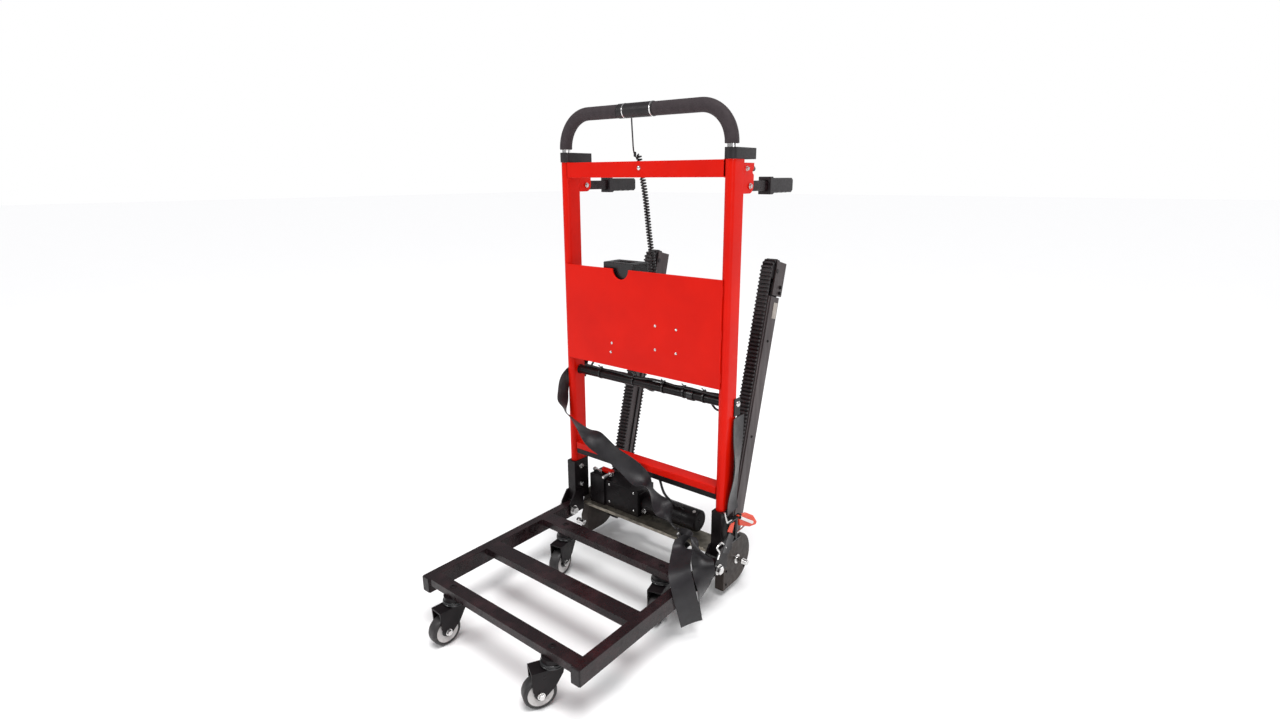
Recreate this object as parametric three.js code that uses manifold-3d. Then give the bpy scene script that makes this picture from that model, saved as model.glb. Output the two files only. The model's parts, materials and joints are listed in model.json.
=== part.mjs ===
// A powered, tracked stair-climbing hand truck with a load platform.
//
// Millimetres, X to the right, Y to the rear, Z up. While the parts are being placed, Y = 0 is the
// front of the two uprights and the floor is at Z = FLOOR; the finished group is then moved so
// that its origin is the middle of its footprint, on the floor.
import * as THREE from 'three';
import { mergeVertices } from 'three/addons/utils/BufferGeometryUtils.js';
import Module from 'manifold-3d';

const wasm = await Module();
wasm.setup();

// ---------------------------------------------------------------- driving dimensions

const GAP = 0.3; // between pieces that touch
const WALL = 2.5; // of the hollow tubes
const ORIGIN_Y = 99.4; // how far the middle of the footprint lies in front of the uprights' front
const FLOOR = 25;

const UPRIGHT = { x: 259, width: 25, depth: 50, bottom: 172, top: 1161 };
const HANDLE = {
  y: 14, tube: 21, foam: 33, barHeight: 1280, bend: 84, tubeBottom: 780, foamBottom: 1195,
};
const HANDLE_BORE = HANDLE.tube / 2 + 0.6; // radius of the holes it slides in
const BEND_STEPS = 9; // facets round each bend of the handle
const SWITCH = { left: -70, right: 43, diameter: 35 };
const COLLAR = { width: 30, front: -2.5, rear: 98, top: 1186 };
const TOP_RAIL = { bottom: 1121, top: 1160, front: 2, depth: 25 };
const LOWER_RAIL = { bottom: 337, top: 357, front: 6, depth: 40 };
const CROSSBAR = { height: 16, front: 8, depth: 34 };
const PANEL = {
  halfWidth: 256, bottom: 622, top: 890, front: -5, thickness: 4, notchX: -57, notchRadius: 27,
};
const CABLE_TUBE = { diameter: 25, y: 32, z: 579 };
const BATTERY = { left: -126, right: -22, front: 6, depth: 65, bottom: 726, top: 905 };
const CONTROL = { left: 14, right: 146, front: 0, depth: 62, bottom: 675, top: 806 };
const GRIP = {
  pivotY: 76, pivotZ: 1101, armHeight: 24, armWidth: 17, armEnd: 284, sleeveFront: 170, sleeveEnd: 288,
};
const BRACKET = { bottom: 1084, top: 1153, rear: 95, sheet: 3 };
const PLUNGER = { z: 1140, shaft: 6, knob: 12, knobFront: 99, knobRear: 114 };
const SOCKET = { width: 30, front: -7, rear: 52, bottom: 168, top: 296 };
const HINGE = { y: -22, z: 146, pin: 12 };
const CASING = {
  inner: 235, outer: 262, y: 97, z: 114, radius: 71, bottom: 42, front: 33, shoulder: 112,
  stub: 297, stubRadius: 9,
};
const TRAY = {
  halfWidth: CASING.inner - GAP, front: 20, rear: 95, top: 160, thickness: 3, lip: 9,
};
const MOTOR = { y: 80, z: 196, radius: 31, left: -39, right: 152 };
const GEARBOX = {
  left: -222, right: -40, front: 42, rear: 117, bottom: 160.3, top: 244, clutchRear: 98, clutchTop: 252,
};
const AXLE = { y: 132, z: 104, diameter: 20 };
const TRACK = {
  x: 203, lean: THREE.MathUtils.degToRad(14.47), length: 793, beltWidth: 33, beltOuter: 33, beltInner: 24,
  pulleyWidth: 30, beamHalfWidth: 14, plate: 3.5,
};
const PLATFORM = {
  halfWidth: 271, railWidth: 26, railHeight: 41, top: 164, memberHeight: 20, front: -527, rear: -8,
  members: [{ front: -525, rear: -491 }, { front: -347, rear: -301 }, { front: -145, rear: -100 }],
};
const CASTER = {
  x: 172, frontY: -508, rearY: -122.5, radius: 37.5, tyreWidth: 30, trail: 33, headRadius: 25,
  crown: { front: -20, rear: 52, bottom: 93, top: 96 }, top: 118.7,
  yaws: { front_left: 176, front_right: 152, rear_left: 190, rear_right: 196 },
};
const STRAP = { width: 58, thickness: 2.4 };
const RATCHET = { x: 286, y: 46, bottom: 205, top: 270, tipY: 142 };

// ---------------------------------------------------------------- materials

const finish = (color, roughness, metalness = 0) => ({ color, roughness, metalness });
const FINISHES = {
  redPaint: finish(0xe02408, 0.38, 0.1),
  blackPaint: finish(0x1d1a1b, 0.5, 0.2),
  brownBlackPaint: finish(0x2e2526, 0.45, 0.2),
  greySteel: finish(0x8f8a8e, 0.42, 0.8),
  brightSteel: finish(0xc9c9cc, 0.25, 1),
  darkPlastic: finish(0x332c2f, 0.55),
  foam: finish(0x262024, 0.9),
  rubber: finish(0x5b5559, 0.8),
  tyre: finish(0x141414, 0.75),
  orangePlastic: finish(0xf0521e, 0.4),
  webbing: finish(0x6d6a70, 0.6),
  cable: finish(0x0f0f10, 0.5),
};

// ---------------------------------------------------------------- geometry helpers

function box(x0, x1, y0, y1, z0, z1) {
  const geometry = new THREE.BoxGeometry(x1 - x0, y1 - y0, z1 - z0);
  return geometry.translate((x0 + x1) / 2, (y0 + y1) / 2, (z0 + z1) / 2);
}

// A shape drawn in (Y, Z) and extruded along X.
function extrudeAlongX(shape, x0, x1, curveSegments = 8) {
  const settings = { depth: x1 - x0, bevelEnabled: false, curveSegments };
  const geometry = new THREE.ExtrudeGeometry(shape, settings);
  const basis = new THREE.Matrix4().makeBasis(
    new THREE.Vector3(0, 1, 0), new THREE.Vector3(0, 0, 1), new THREE.Vector3(1, 0, 0));
  return geometry.applyMatrix4(basis).translate(x0, 0, 0);
}

// A shape drawn in (X, Z) and extruded along Y, from y0 back to y1.
function extrudeAlongY(shape, y0, y1, curveSegments = 12) {
  const settings = { depth: y1 - y0, bevelEnabled: false, curveSegments };
  const geometry = new THREE.ExtrudeGeometry(shape, settings);
  const basis = new THREE.Matrix4().makeBasis(
    new THREE.Vector3(1, 0, 0), new THREE.Vector3(0, 0, 1), new THREE.Vector3(0, -1, 0));
  return geometry.applyMatrix4(basis).translate(0, y1, 0);
}

// A shape drawn in (X, Y) and extruded along Z.
function extrudeAlongZ(shape, z0, z1, curveSegments = 8) {
  const settings = { depth: z1 - z0, bevelEnabled: false, curveSegments };
  const geometry = new THREE.ExtrudeGeometry(shape, settings);
  return geometry.translate(0, 0, z0);
}

function cylinderAlongX(x0, x1, y, z, radius, sides = 20) {
  const geometry = new THREE.CylinderGeometry(radius, radius, x1 - x0, sides).rotateZ(Math.PI / 2);
  return geometry.translate((x0 + x1) / 2, y, z);
}

function cylinderAlongY(y0, y1, x, z, radius, sides = 16) {
  return new THREE.CylinderGeometry(radius, radius, y1 - y0, sides).translate(x, (y0 + y1) / 2, z);
}

function cylinderAlongZ(z0, z1, x, y, radius, sides = 20) {
  const geometry = new THREE.CylinderGeometry(radius, radius, z1 - z0, sides).rotateX(Math.PI / 2);
  return geometry.translate(x, y, (z0 + z1) / 2);
}

// A profile of [radius, position along X] pairs turned about the X axis.
function turnedAlongX(profile, sides = 24) {
  const points = profile.map(([radius, along]) => new THREE.Vector2(radius, along));
  return new THREE.LatheGeometry(points, sides).rotateZ(-Math.PI / 2);
}

function circleShape(radius, sides) {
  const shape = new THREE.Shape();
  for (let i = 0; i < sides; i += 1) {
    const angle = (2 * Math.PI * i) / sides;
    const point = [radius * Math.cos(angle), radius * Math.sin(angle)];
    if (i === 0) shape.moveTo(...point);
    else shape.lineTo(...point);
  }
  shape.closePath();
  return shape;
}

function tubeAlong(curve, radius, steps, sides = 12, boreRadius = 0) {
  const section = circleShape(radius, sides);
  if (boreRadius > 0) section.holes.push(circleShape(boreRadius, sides));
  return new THREE.ExtrudeGeometry(section, { steps, extrudePath: curve, bevelEnabled: false });
}

// A rectangular tube along X, centred on X = 0 and open at both ends.
function squareTube(reach, y0, y1, z0, z1) {
  const shape = rectangle(new THREE.Shape(), y0, y1, z0, z1);
  shape.holes.push(rectangle(new THREE.Path(), y0 + WALL, y1 - WALL, z0 + WALL, z1 - WALL));
  return extrudeAlongX(shape, -reach, reach);
}

function rectangle(path, a0, a1, b0, b1) {
  path.moveTo(a0, b0);
  path.lineTo(a1, b0);
  path.lineTo(a1, b1);
  path.lineTo(a0, b1);
  path.closePath();
  return path;
}

function toSolid(geometry) {
  const bare = geometry.clone();
  bare.deleteAttribute('normal');
  bare.deleteAttribute('uv');
  const merged = mergeVertices(bare, 1e-4);
  const triVerts = new Uint32Array(merged.index.array);
  const vertProperties = new Float32Array(merged.attributes.position.array);
  return new wasm.Manifold(new wasm.Mesh({ numProp: 3, vertProperties, triVerts }));
}

function toGeometry(solid) {
  const { vertProperties, triVerts } = solid.getMesh();
  const geometry = new THREE.BufferGeometry();
  geometry.setAttribute('position', new THREE.BufferAttribute(new Float32Array(vertProperties), 3));
  geometry.setIndex(new THREE.BufferAttribute(new Uint32Array(triVerts), 1));
  geometry.computeVertexNormals();
  return geometry;
}

const join = (...geometries) => toGeometry(geometries.map(toSolid).reduce((a, b) => a.add(b)));
const cut = (geometry, ...tools) =>
  toGeometry(tools.map(toSolid).reduce((a, b) => a.subtract(b), toSolid(geometry)));

// A flat band through a list of { at, across } stations, square-cut at both ends.
function ribbon(stations, width, thickness) {
  const at = stations.map((s) => new THREE.Vector3(...s.at));
  const positions = [];
  const index = [];
  stations.forEach((station, i) => {
    const ahead = at[Math.min(i + 1, at.length - 1)].clone().sub(at[Math.max(i - 1, 0)]).normalize();
    const across = new THREE.Vector3(...station.across);
    across.addScaledVector(ahead, -across.dot(ahead)).normalize();
    const normal = ahead.clone().cross(across);
    for (const [a, n] of [[-1, -1], [1, -1], [1, 1], [-1, 1]]) {
      const corner = at[i].clone().addScaledVector(across, (a * width) / 2);
      positions.push(...corner.addScaledVector(normal, (n * thickness) / 2).toArray());
    }
  });
  for (let i = 0; i < stations.length - 1; i += 1) {
    for (let k = 0; k < 4; k += 1) {
      const a = 4 * i + k;
      const b = 4 * i + ((k + 1) % 4);
      index.push(a, b, b + 4, a, b + 4, a + 4);
    }
  }
  const last = 4 * (stations.length - 1);
  index.push(0, 2, 1, 0, 3, 2, last, last + 1, last + 2, last, last + 2, last + 3);
  const geometry = new THREE.BufferGeometry();
  geometry.setAttribute('position', new THREE.Float32BufferAttribute(positions, 3));
  geometry.setIndex(index);
  geometry.computeVertexNormals();
  return geometry;
}

// ---------------------------------------------------------------- the assembly

const truck = new THREE.Group();
truck.position.set(0, ORIGIN_Y, -FLOOR);

function piece(name, geometry, look, parent = truck) {
  const mesh = new THREE.Mesh(geometry, new THREE.MeshStandardMaterial(FINISHES[look]));
  mesh.name = name;
  parent.add(mesh);
  return mesh;
}

const SIDES = [{ side: 'left', sign: -1 }, { side: 'right', sign: 1 }];

// ---------------------------------------------------------------- frame

// The section of an upright: square at the back, half round at the front.
function uprightSection(x, width, front, rear, boreRadius) {
  const half = width / 2;
  const shape = new THREE.Shape();
  shape.moveTo(x + half, rear);
  shape.lineTo(x - half, rear);
  shape.lineTo(x - half, front + half);
  shape.absarc(x, front + half, half, Math.PI, 2 * Math.PI, false);
  shape.closePath();
  if (boreRadius > 0) {
    const bore = new THREE.Path();
    bore.absarc(x, HANDLE.y, boreRadius, 0, 2 * Math.PI, false);
    shape.holes.push(bore);
    const chamber = [x - half + WALL, x + half - WALL, front + width + 3, rear - WALL];
    shape.holes.push(rectangle(new THREE.Path(), ...chamber));
  }
  return shape;
}

function buildUprights() {
  for (const { side, sign } of SIDES) {
    const x = sign * UPRIGHT.x;
    const section = uprightSection(x, UPRIGHT.width, 0, UPRIGHT.depth, HANDLE_BORE);
    const body = extrudeAlongZ(section, UPRIGHT.bottom, UPRIGHT.top - GAP);
    const pinBore = PLUNGER.shaft / 2 + 0.5;
    const pinHole = cylinderAlongY(HANDLE.y + 6, UPRIGHT.depth + 5, x, PLUNGER.z, pinBore, 12);
    piece(`${side}_upright`, cut(body, pinHole), 'redPaint');
    const cap = uprightSection(x, COLLAR.width, COLLAR.front, COLLAR.rear, HANDLE_BORE);
    piece(`${side}_collar`, extrudeAlongZ(cap, UPRIGHT.top, COLLAR.top), 'darkPlastic');
  }
}

function buildCrossMembers() {
  const inside = UPRIGHT.x - UPRIGHT.width / 2 - GAP;
  const railRear = TOP_RAIL.front + TOP_RAIL.depth;
  const rail = squareTube(inside, TOP_RAIL.front, railRear, TOP_RAIL.bottom, TOP_RAIL.top);
  piece('top_rail', rail, 'redPaint');
  const lowerRear = LOWER_RAIL.front + LOWER_RAIL.depth;
  const lower = squareTube(inside, LOWER_RAIL.front, lowerRear, LOWER_RAIL.bottom, LOWER_RAIL.top);
  piece('lower_rail', lower, 'redPaint');
  const barTop = LOWER_RAIL.bottom - GAP;
  const barRear = CROSSBAR.front + CROSSBAR.depth;
  const bar = squareTube(inside, CROSSBAR.front, barRear, barTop - CROSSBAR.height, barTop);
  piece('base_crossbar', bar, 'blackPaint');
  const { diameter, y, z } = CABLE_TUBE;
  const skin = cylinderAlongX(-inside, inside, y, z, diameter / 2, 16);
  const core = cylinderAlongX(-inside - 1, inside + 1, y, z, diameter / 2 - WALL, 16);
  piece('cable_tube', cut(skin, core), 'blackPaint');
}

function buildPanel() {
  const { halfWidth, bottom, top, front, thickness, notchX, notchRadius } = PANEL;
  const shape = new THREE.Shape();
  shape.moveTo(-halfWidth, bottom);
  shape.lineTo(halfWidth, bottom);
  shape.lineTo(halfWidth, top);
  shape.lineTo(notchX + notchRadius, top);
  shape.absarc(notchX, top, notchRadius, 2 * Math.PI, Math.PI, true);
  shape.lineTo(-halfWidth, top);
  shape.closePath();
  piece('front_panel', extrudeAlongY(shape, front, front + thickness), 'redPaint');
}

function buildSockets() {
  const half = SOCKET.width / 2;
  const plate = 4;
  for (const { side, sign } of SIDES) {
    const x = sign * UPRIGHT.x;
    const sleeve = box(x - half, x + half, SOCKET.front, SOCKET.rear, SOCKET.bottom, SOCKET.top);
    const room = uprightSection(x, UPRIGHT.width + 2 * GAP, -GAP, UPRIGHT.depth + GAP, 0);
    const seat = extrudeAlongZ(room, UPRIGHT.bottom - GAP, SOCKET.top + 10);
    const hollow = cut(sleeve, seat);
    const cheek = (x0) => extrudeAlongX(hingeCheekShape(), x0, x0 + plate);
    const pin = cylinderAlongX(x - half - 1, x + half + 1, HINGE.y, HINGE.z, HINGE.pin / 2, 16);
    piece(`${side}_socket`, join(hollow, cheek(x - half - plate), cheek(x + half), pin), 'blackPaint');
  }
}

// The cheek plate that carries one end of the platform's hinge pin.
function hingeCheekShape() {
  const shape = new THREE.Shape();
  shape.moveTo(24, 200);
  shape.lineTo(-12, 200);
  shape.lineTo(-36, 168);
  shape.lineTo(-36, 132);
  shape.lineTo(24, 132);
  shape.closePath();
  return shape;
}

function buildSideCasings() {
  const { inner, outer, y, z, radius, bottom, front, shoulder, stub, stubRadius } = CASING;
  const shape = new THREE.Shape();
  const start = -Math.PI / 2;
  shape.moveTo(front, bottom);
  shape.lineTo(y, z - radius);
  shape.absarc(y, z, radius, start, -start + 0.05, false);
  shape.lineTo(Math.max(SOCKET.rear + 2, y - 40), z + radius - 12);
  shape.lineTo(SOCKET.rear + 2, shoulder + SOCKET.rear + 2 - front - 6);
  shape.lineTo(front + 6, shoulder);
  shape.closePath();
  for (const { side, sign } of SIDES) {
    const x0 = sign > 0 ? inner : -outer;
    const x1 = x0 + outer - inner;
    const bearing = cylinderAlongX(x0 - 5, x1 + 5, AXLE.y, AXLE.z, AXLE.diameter / 2 + 0.4, 20);
    const body = extrudeAlongX(shape, x0, x1, 14);
    const bolt = sign > 0 ? [outer - 2, stub] : [-stub, 2 - outer];
    const axleStub = cylinderAlongX(...bolt, y, z, stubRadius, 16);
    piece(`${side}_side_casing`, join(cut(body, bearing), axleStub), 'brownBlackPaint');
  }
}

// ---------------------------------------------------------------- drive

function buildDrive() {
  const { halfWidth, front, rear, top, thickness, lip } = TRAY;
  const sheet = box(-halfWidth, halfWidth, front, rear, top - thickness, top);
  const edge = box(-halfWidth, halfWidth, front, front + thickness, top - lip, top);
  piece('base_tray', join(sheet, edge), 'greySteel');

  const g = GEARBOX;
  const worm = box(g.left + 55, g.right, g.front, g.rear, g.bottom, g.top);
  const clutch = box(g.left, g.left + 56, g.front - 6, g.clutchRear, g.bottom, g.clutchTop);
  const drop = extrudeAlongX(gearDropShape(), -128, -72, 10);
  const bore = cylinderAlongX(-140, -60, AXLE.y, AXLE.z, AXLE.diameter / 2 + 0.4, 20);
  piece('gearbox', cut(join(worm, clutch, drop), bore), 'blackPaint');

  const m = MOTOR;
  const profile = [
    [0, m.left], [m.radius - 4, m.left], [m.radius - 4, m.left + 8], [m.radius, m.left + 8],
    [m.radius, m.right - 14], [m.radius - 1.5, m.right - 14], [m.radius - 1.5, m.right], [0, m.right],
  ];
  piece('motor', turnedAlongX(profile, 28).translate(0, m.y, m.z), 'blackPaint');

  const lever = join(
    cylinderAlongZ(g.clutchTop + GAP, g.clutchTop + 12, -158, 60, 8, 14),
    box(-162, -154, 24, 60, g.clutchTop + 4, g.clutchTop + 10),
  );
  piece('release_lever', lever, 'brightSteel');
}

// The part of the gearbox that hangs behind the tray and carries the drive axle.
function gearDropShape() {
  const shape = new THREE.Shape();
  const radius = 26;
  shape.moveTo(AXLE.y - radius, GEARBOX.top - 20);
  shape.lineTo(AXLE.y - radius, AXLE.z);
  shape.absarc(AXLE.y, AXLE.z, radius, Math.PI, 2 * Math.PI, false);
  shape.lineTo(AXLE.y + radius, GEARBOX.top - 60);
  shape.closePath();
  return shape;
}

function buildAxle() {
  const reach = CASING.outer - 4;
  const axle = cylinderAlongX(-reach, reach, AXLE.y, AXLE.z, AXLE.diameter / 2, 20);
  piece('drive_axle', axle, 'brightSteel');
  for (const { side, sign } of SIDES) {
    const sprocket = pulley(AXLE.diameter / 2 + GAP, 0).translate(sign * TRACK.x, AXLE.y, AXLE.z);
    piece(`${side}_sprocket`, sprocket, 'darkPlastic');
  }
}

// A crowned pulley about X: with a bore when boreRadius is given, else with a solid axle.
function pulley(boreRadius, axleReach) {
  const half = TRACK.pulleyWidth / 2;
  const rim = TRACK.beltInner - 0.5;
  if (boreRadius > 0) {
    return turnedAlongX([
      [boreRadius, -half], [rim - 1.5, -half], [rim, -half + 2], [rim, half - 2],
      [rim - 1.5, half], [boreRadius, half], [boreRadius, -half],
    ], 20);
  }
  return turnedAlongX([
    [0, -axleReach], [6, -axleReach], [6, -half], [rim - 1.5, -half], [rim, -half + 2],
    [rim, half - 2], [rim - 1.5, half], [6, half], [6, axleReach], [0, axleReach],
  ], 20);
}

// ---------------------------------------------------------------- tracks

// Each track is drawn upright, with its origin on the drive axle and Z up along the belt.
function buildTracks() {
  for (const { side, sign } of SIDES) {
    const track = new THREE.Group();
    track.position.set(sign * TRACK.x, AXLE.y, AXLE.z);
    track.rotation.x = -TRACK.lean;
    truck.add(track);
    piece(`${side}_belt`, beltGeometry(), 'rubber', track);
    piece(`${side}_track_beam`, beamGeometry(sign), 'greySteel', track);
    piece(`${side}_tensioner`, tensionerGeometry(), 'greySteel', track);
    const idler = pulley(0, TRACK.beltWidth / 2 + 6).translate(0, 0, TRACK.length);
    piece(`${side}_idler`, idler, 'darkPlastic', track);
  }
}

function stadium(shape, radius, length) {
  shape.moveTo(radius, 0);
  shape.lineTo(radius, length);
  shape.absarc(0, length, radius, 0, Math.PI, false);
  shape.lineTo(-radius, 0);
  shape.absarc(0, 0, radius, Math.PI, 2 * Math.PI, false);
  return shape;
}

function beltGeometry() {
  const shape = stadium(new THREE.Shape(), TRACK.beltOuter, TRACK.length);
  shape.holes.push(stadium(new THREE.Path(), TRACK.beltInner, TRACK.length));
  return extrudeAlongX(shape, -TRACK.beltWidth / 2, TRACK.beltWidth / 2, 14);
}

// A box beam between the belt runs, with a guard plate on its outer side.
function beamGeometry(sign) {
  const outside = TRACK.beltWidth / 2 + 1;
  const reach = TRACK.beltInner - 2;
  const top = TRACK.length - 70;
  const inside = -TRACK.beamHalfWidth;
  const beam = box(inside, outside + 1, -reach, reach, 32, top);
  const hollow = box(inside + WALL, outside - WALL, WALL - reach, reach - WALL, 20, top + 10);
  const guard = box(outside, outside + TRACK.plate, -13, TRACK.beltOuter + 1.5, 8, top);
  const eye = cylinderAlongX(outside, outside + TRACK.plate, 0, 0, 17, 20);
  const bore = cylinderAlongX(outside - 1, outside + TRACK.plate + 1, 0, 0, AXLE.diameter / 2 + 0.4, 20);
  const geometry = cut(join(beam, guard, eye), hollow, bore);
  if (sign > 0) return geometry;
  return toGeometry(toSolid(geometry).mirror([1, 0, 0]));
}

// The fork that carries the idler: two side plates and a web behind the belt.
function tensionerGeometry() {
  const inside = TRACK.beltWidth / 2 + 1;
  const outside = inside + TRACK.plate;
  const bottom = TRACK.length - 66;
  const top = TRACK.length + 27;
  const rear = TRACK.beltOuter + 12;
  const fork = join(
    box(inside, outside, -9, rear, bottom, top),
    box(-outside, -inside, -9, rear, bottom, top),
    box(-outside, outside, rear - 3.5, rear, bottom, top - 30),
  );
  return cut(fork, cylinderAlongX(-outside - 1, outside + 1, 0, TRACK.length, 6.4, 16));
}

// ---------------------------------------------------------------- handle, switch and cord

// A curve that passes through listed stations, one extrusion step from each to the next.
class StationCurve extends THREE.Curve {
  constructor(stations) {
    super();
    this.stations = stations;
  }

  getPointAt(u) {
    return this.stations[Math.round(u * (this.stations.length - 1))].clone();
  }

  getTangentAt(u) {
    const i = Math.round(u * (this.stations.length - 1));
    const here = this.stations[i];
    const behind = this.stations[Math.max(i - 1, 0)];
    const ahead = this.stations[Math.min(i + 1, this.stations.length - 1)];
    const arriving = here.clone().sub(behind).normalize();
    return arriving.add(ahead.clone().sub(here).normalize()).normalize();
  }
}

// One side of the bow-shaped handle, from the foot of its leg round the bend to x = barEnd.
function handleHalf(sign, legBottom, barEnd) {
  const { y, barHeight, bend } = HANDLE;
  const stations = [new THREE.Vector3(sign * UPRIGHT.x, y, legBottom)];
  for (let i = 0; i <= BEND_STEPS; i += 1) {
    const angle = (i / BEND_STEPS) * (Math.PI / 2);
    const x = UPRIGHT.x - bend + bend * Math.cos(angle);
    stations.push(new THREE.Vector3(sign * x, y, barHeight - bend + bend * Math.sin(angle)));
  }
  stations.push(new THREE.Vector3(barEnd, y, barHeight));
  return stations;
}

const stationTube = (stations, ...rest) =>
  tubeAlong(new StationCurve(stations), rest[0], stations.length - 1, rest[1], rest[2]);

function buildHandle() {
  const { y, tube, foam, barHeight, tubeBottom, foamBottom } = HANDLE;
  const bow = [...handleHalf(-1, tubeBottom, 0), ...handleHalf(1, tubeBottom, 0).reverse().slice(1)];
  piece('handle_tube', stationTube(bow, tube / 2, 12, tube / 2 - WALL), 'brightSteel');
  const bore = tube / 2 + 0.8;
  const leftFoam = stationTube(handleHalf(-1, foamBottom, SWITCH.left - GAP), foam / 2, 14, bore);
  const rightFoam = stationTube(handleHalf(1, foamBottom, SWITCH.right + GAP), foam / 2, 14, bore);
  piece('left_foam_grip', leftFoam, 'foam');
  piece('right_foam_grip', rightFoam, 'foam');

  const sleeve = cylinderAlongX(SWITCH.left, SWITCH.right, y, barHeight, SWITCH.diameter / 2, 20);
  const boss = box(-44, 16, y, y + 24, barHeight - 13, barHeight + 13);
  const hole = cylinderAlongX(SWITCH.left - 1, SWITCH.right + 1, y, barHeight, bore, 14);
  const well = box(-34, 6, y + 19, y + 30, barHeight - 9, barHeight + 9);
  piece('switch_housing', cut(join(sleeve, boss), hole, well), 'darkPlastic');
  const rocker = box(-33, 5, y + 20.5, y + 27, barHeight - 7.5, barHeight + 7.5);
  piece('rocker_switch', rocker, 'cable');
}

// The lead from the switch: a thin straight lead, then a coil that hangs to the control box.
function buildCord() {
  const leadRoute = [
    [-36, 14, HANDLE.barHeight - SWITCH.diameter / 2 - GAP], [-36, 15, 1236], [-34, 22, 1205],
    [-31, 33, 1180], [-30, 41, 1160], [-31, 44, 1126],
  ];
  const coilRoute = [
    [-31, 44, 1125.5], [-22, 46, 1060], [-8, 47, 980], [8, 47, 900], [28, 44, CONTROL.top + 24],
    [29, 44, CONTROL.top + 1],
  ];
  const smooth = (route) => new THREE.CatmullRomCurve3(route.map((p) => new THREE.Vector3(...p)));
  piece('control_lead', tubeAlong(smooth(leadRoute), 1.8, 20, 8), 'cable');
  piece('coiled_cord', tubeAlong(smooth(coilRoute), 6, 14, 12), 'cable');
}

// ---------------------------------------------------------------- battery and control box

function buildBoxes() {
  const b = BATTERY;
  const pack = box(b.left, b.right, b.front, b.front + b.depth, b.bottom, b.top);
  const finger = box(b.left + 22, b.right - 22, b.front + 18, b.front + 47, b.top - 14, b.top + 5);
  piece('battery_pack', cut(pack, finger), 'darkPlastic');
  const c = CONTROL;
  piece('control_box', box(c.left, c.right, c.front, c.front + c.depth, c.bottom, c.top), 'blackPaint');
}

// ---------------------------------------------------------------- folding rear grips

function buildGrips() {
  for (const { side, sign } of SIDES) {
    const x = sign * UPRIGHT.x;
    piece(`${side}_grip_bracket`, bracketGeometry(x), 'redPaint');
    piece(`${side}_grip_arm`, gripArmGeometry(x), 'brownBlackPaint');
    piece(`${side}_grip_sleeve`, gripSleeveGeometry(x), 'darkPlastic');
    const { z, knobFront, knobRear } = PLUNGER;
    const shaft = cylinderAlongY(HANDLE.y + HANDLE_BORE, knobFront + 1, x, z, PLUNGER.shaft / 2, 12);
    const knob = cylinderAlongY(knobFront, knobRear, x, z, PLUNGER.knob / 2, 14);
    piece(`${side}_lock_plunger`, join(shaft, knob), 'cable');
  }
}

// A sheet channel, open to the rear, with a pin across it for the arm.
function bracketGeometry(x) {
  const { bottom, top, rear, sheet } = BRACKET;
  const half = UPRIGHT.width / 2;
  const web = UPRIGHT.depth + GAP;
  const shape = new THREE.Shape();
  shape.moveTo(web, bottom);
  shape.lineTo(rear - 18, bottom);
  shape.absarc(rear - 18, bottom + 18, 18, -Math.PI / 2, 0, false);
  shape.lineTo(rear, top - 26);
  shape.absarc(rear, top - 20, 6, -Math.PI / 2, -1.5 * Math.PI, true);
  shape.lineTo(rear, top);
  shape.lineTo(web, top);
  shape.closePath();
  const block = extrudeAlongX(shape, x - half, x + half, 6);
  const room = box(x - half + sheet, x + half - sheet, web + sheet, rear + 5, bottom - 5, top + 5);
  const pinHole = cylinderAlongY(web - 1, web + sheet + 1, x, PLUNGER.z, PLUNGER.shaft / 2 + 0.5, 12);
  const pin = cylinderAlongX(x - half - 2, x + half + 2, GRIP.pivotY, GRIP.pivotZ, 4, 12);
  return join(cut(block, room, pinHole), pin);
}

function gripArmGeometry(x) {
  const { pivotY, pivotZ, armHeight, armWidth, armEnd } = GRIP;
  const half = armHeight / 2;
  const shape = new THREE.Shape();
  shape.moveTo(armEnd, pivotZ - half);
  shape.lineTo(armEnd, pivotZ + half);
  shape.lineTo(pivotY, pivotZ + half);
  shape.absarc(pivotY, pivotZ, half, Math.PI / 2, 1.5 * Math.PI, false);
  shape.closePath();
  const arm = extrudeAlongX(shape, x - armWidth / 2, x + armWidth / 2, 10);
  return cut(arm, cylinderAlongX(x - 20, x + 20, pivotY, pivotZ, 4.3, 12));
}

// The grip: a flange at the front and finger waves along its underside.
function gripSleeveGeometry(x) {
  const { pivotZ, armHeight, armWidth, armEnd, sleeveFront, sleeveEnd } = GRIP;
  const waves = 4;
  const body = sleeveFront + 14;
  const pitch = (sleeveEnd - 8 - body) / waves;
  const shape = new THREE.Shape();
  shape.moveTo(sleeveFront, pivotZ - 21);
  shape.lineTo(body, pivotZ - 21);
  for (let i = 0; i < waves; i += 1) {
    const y = body + i * pitch;
    shape.quadraticCurveTo(y + pitch / 2, pivotZ - 13, y + pitch, pivotZ - 18);
  }
  shape.lineTo(sleeveEnd, pivotZ - 12);
  shape.lineTo(sleeveEnd, pivotZ + 13);
  shape.lineTo(sleeveEnd - 6, pivotZ + 18);
  shape.lineTo(body, pivotZ + 18);
  shape.lineTo(body, pivotZ + 21);
  shape.lineTo(sleeveFront, pivotZ + 21);
  shape.closePath();
  const block = extrudeAlongX(shape, x - 17, x + 17, 4);
  const halfBore = armWidth / 2 + GAP;
  const halfArm = armHeight / 2 + GAP;
  const boreZ = [pivotZ - halfArm, pivotZ + halfArm];
  const bore = box(x - halfBore, x + halfBore, sleeveFront - 1, armEnd + GAP, ...boreZ);
  return cut(block, bore);
}

// ---------------------------------------------------------------- platform and casters

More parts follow.
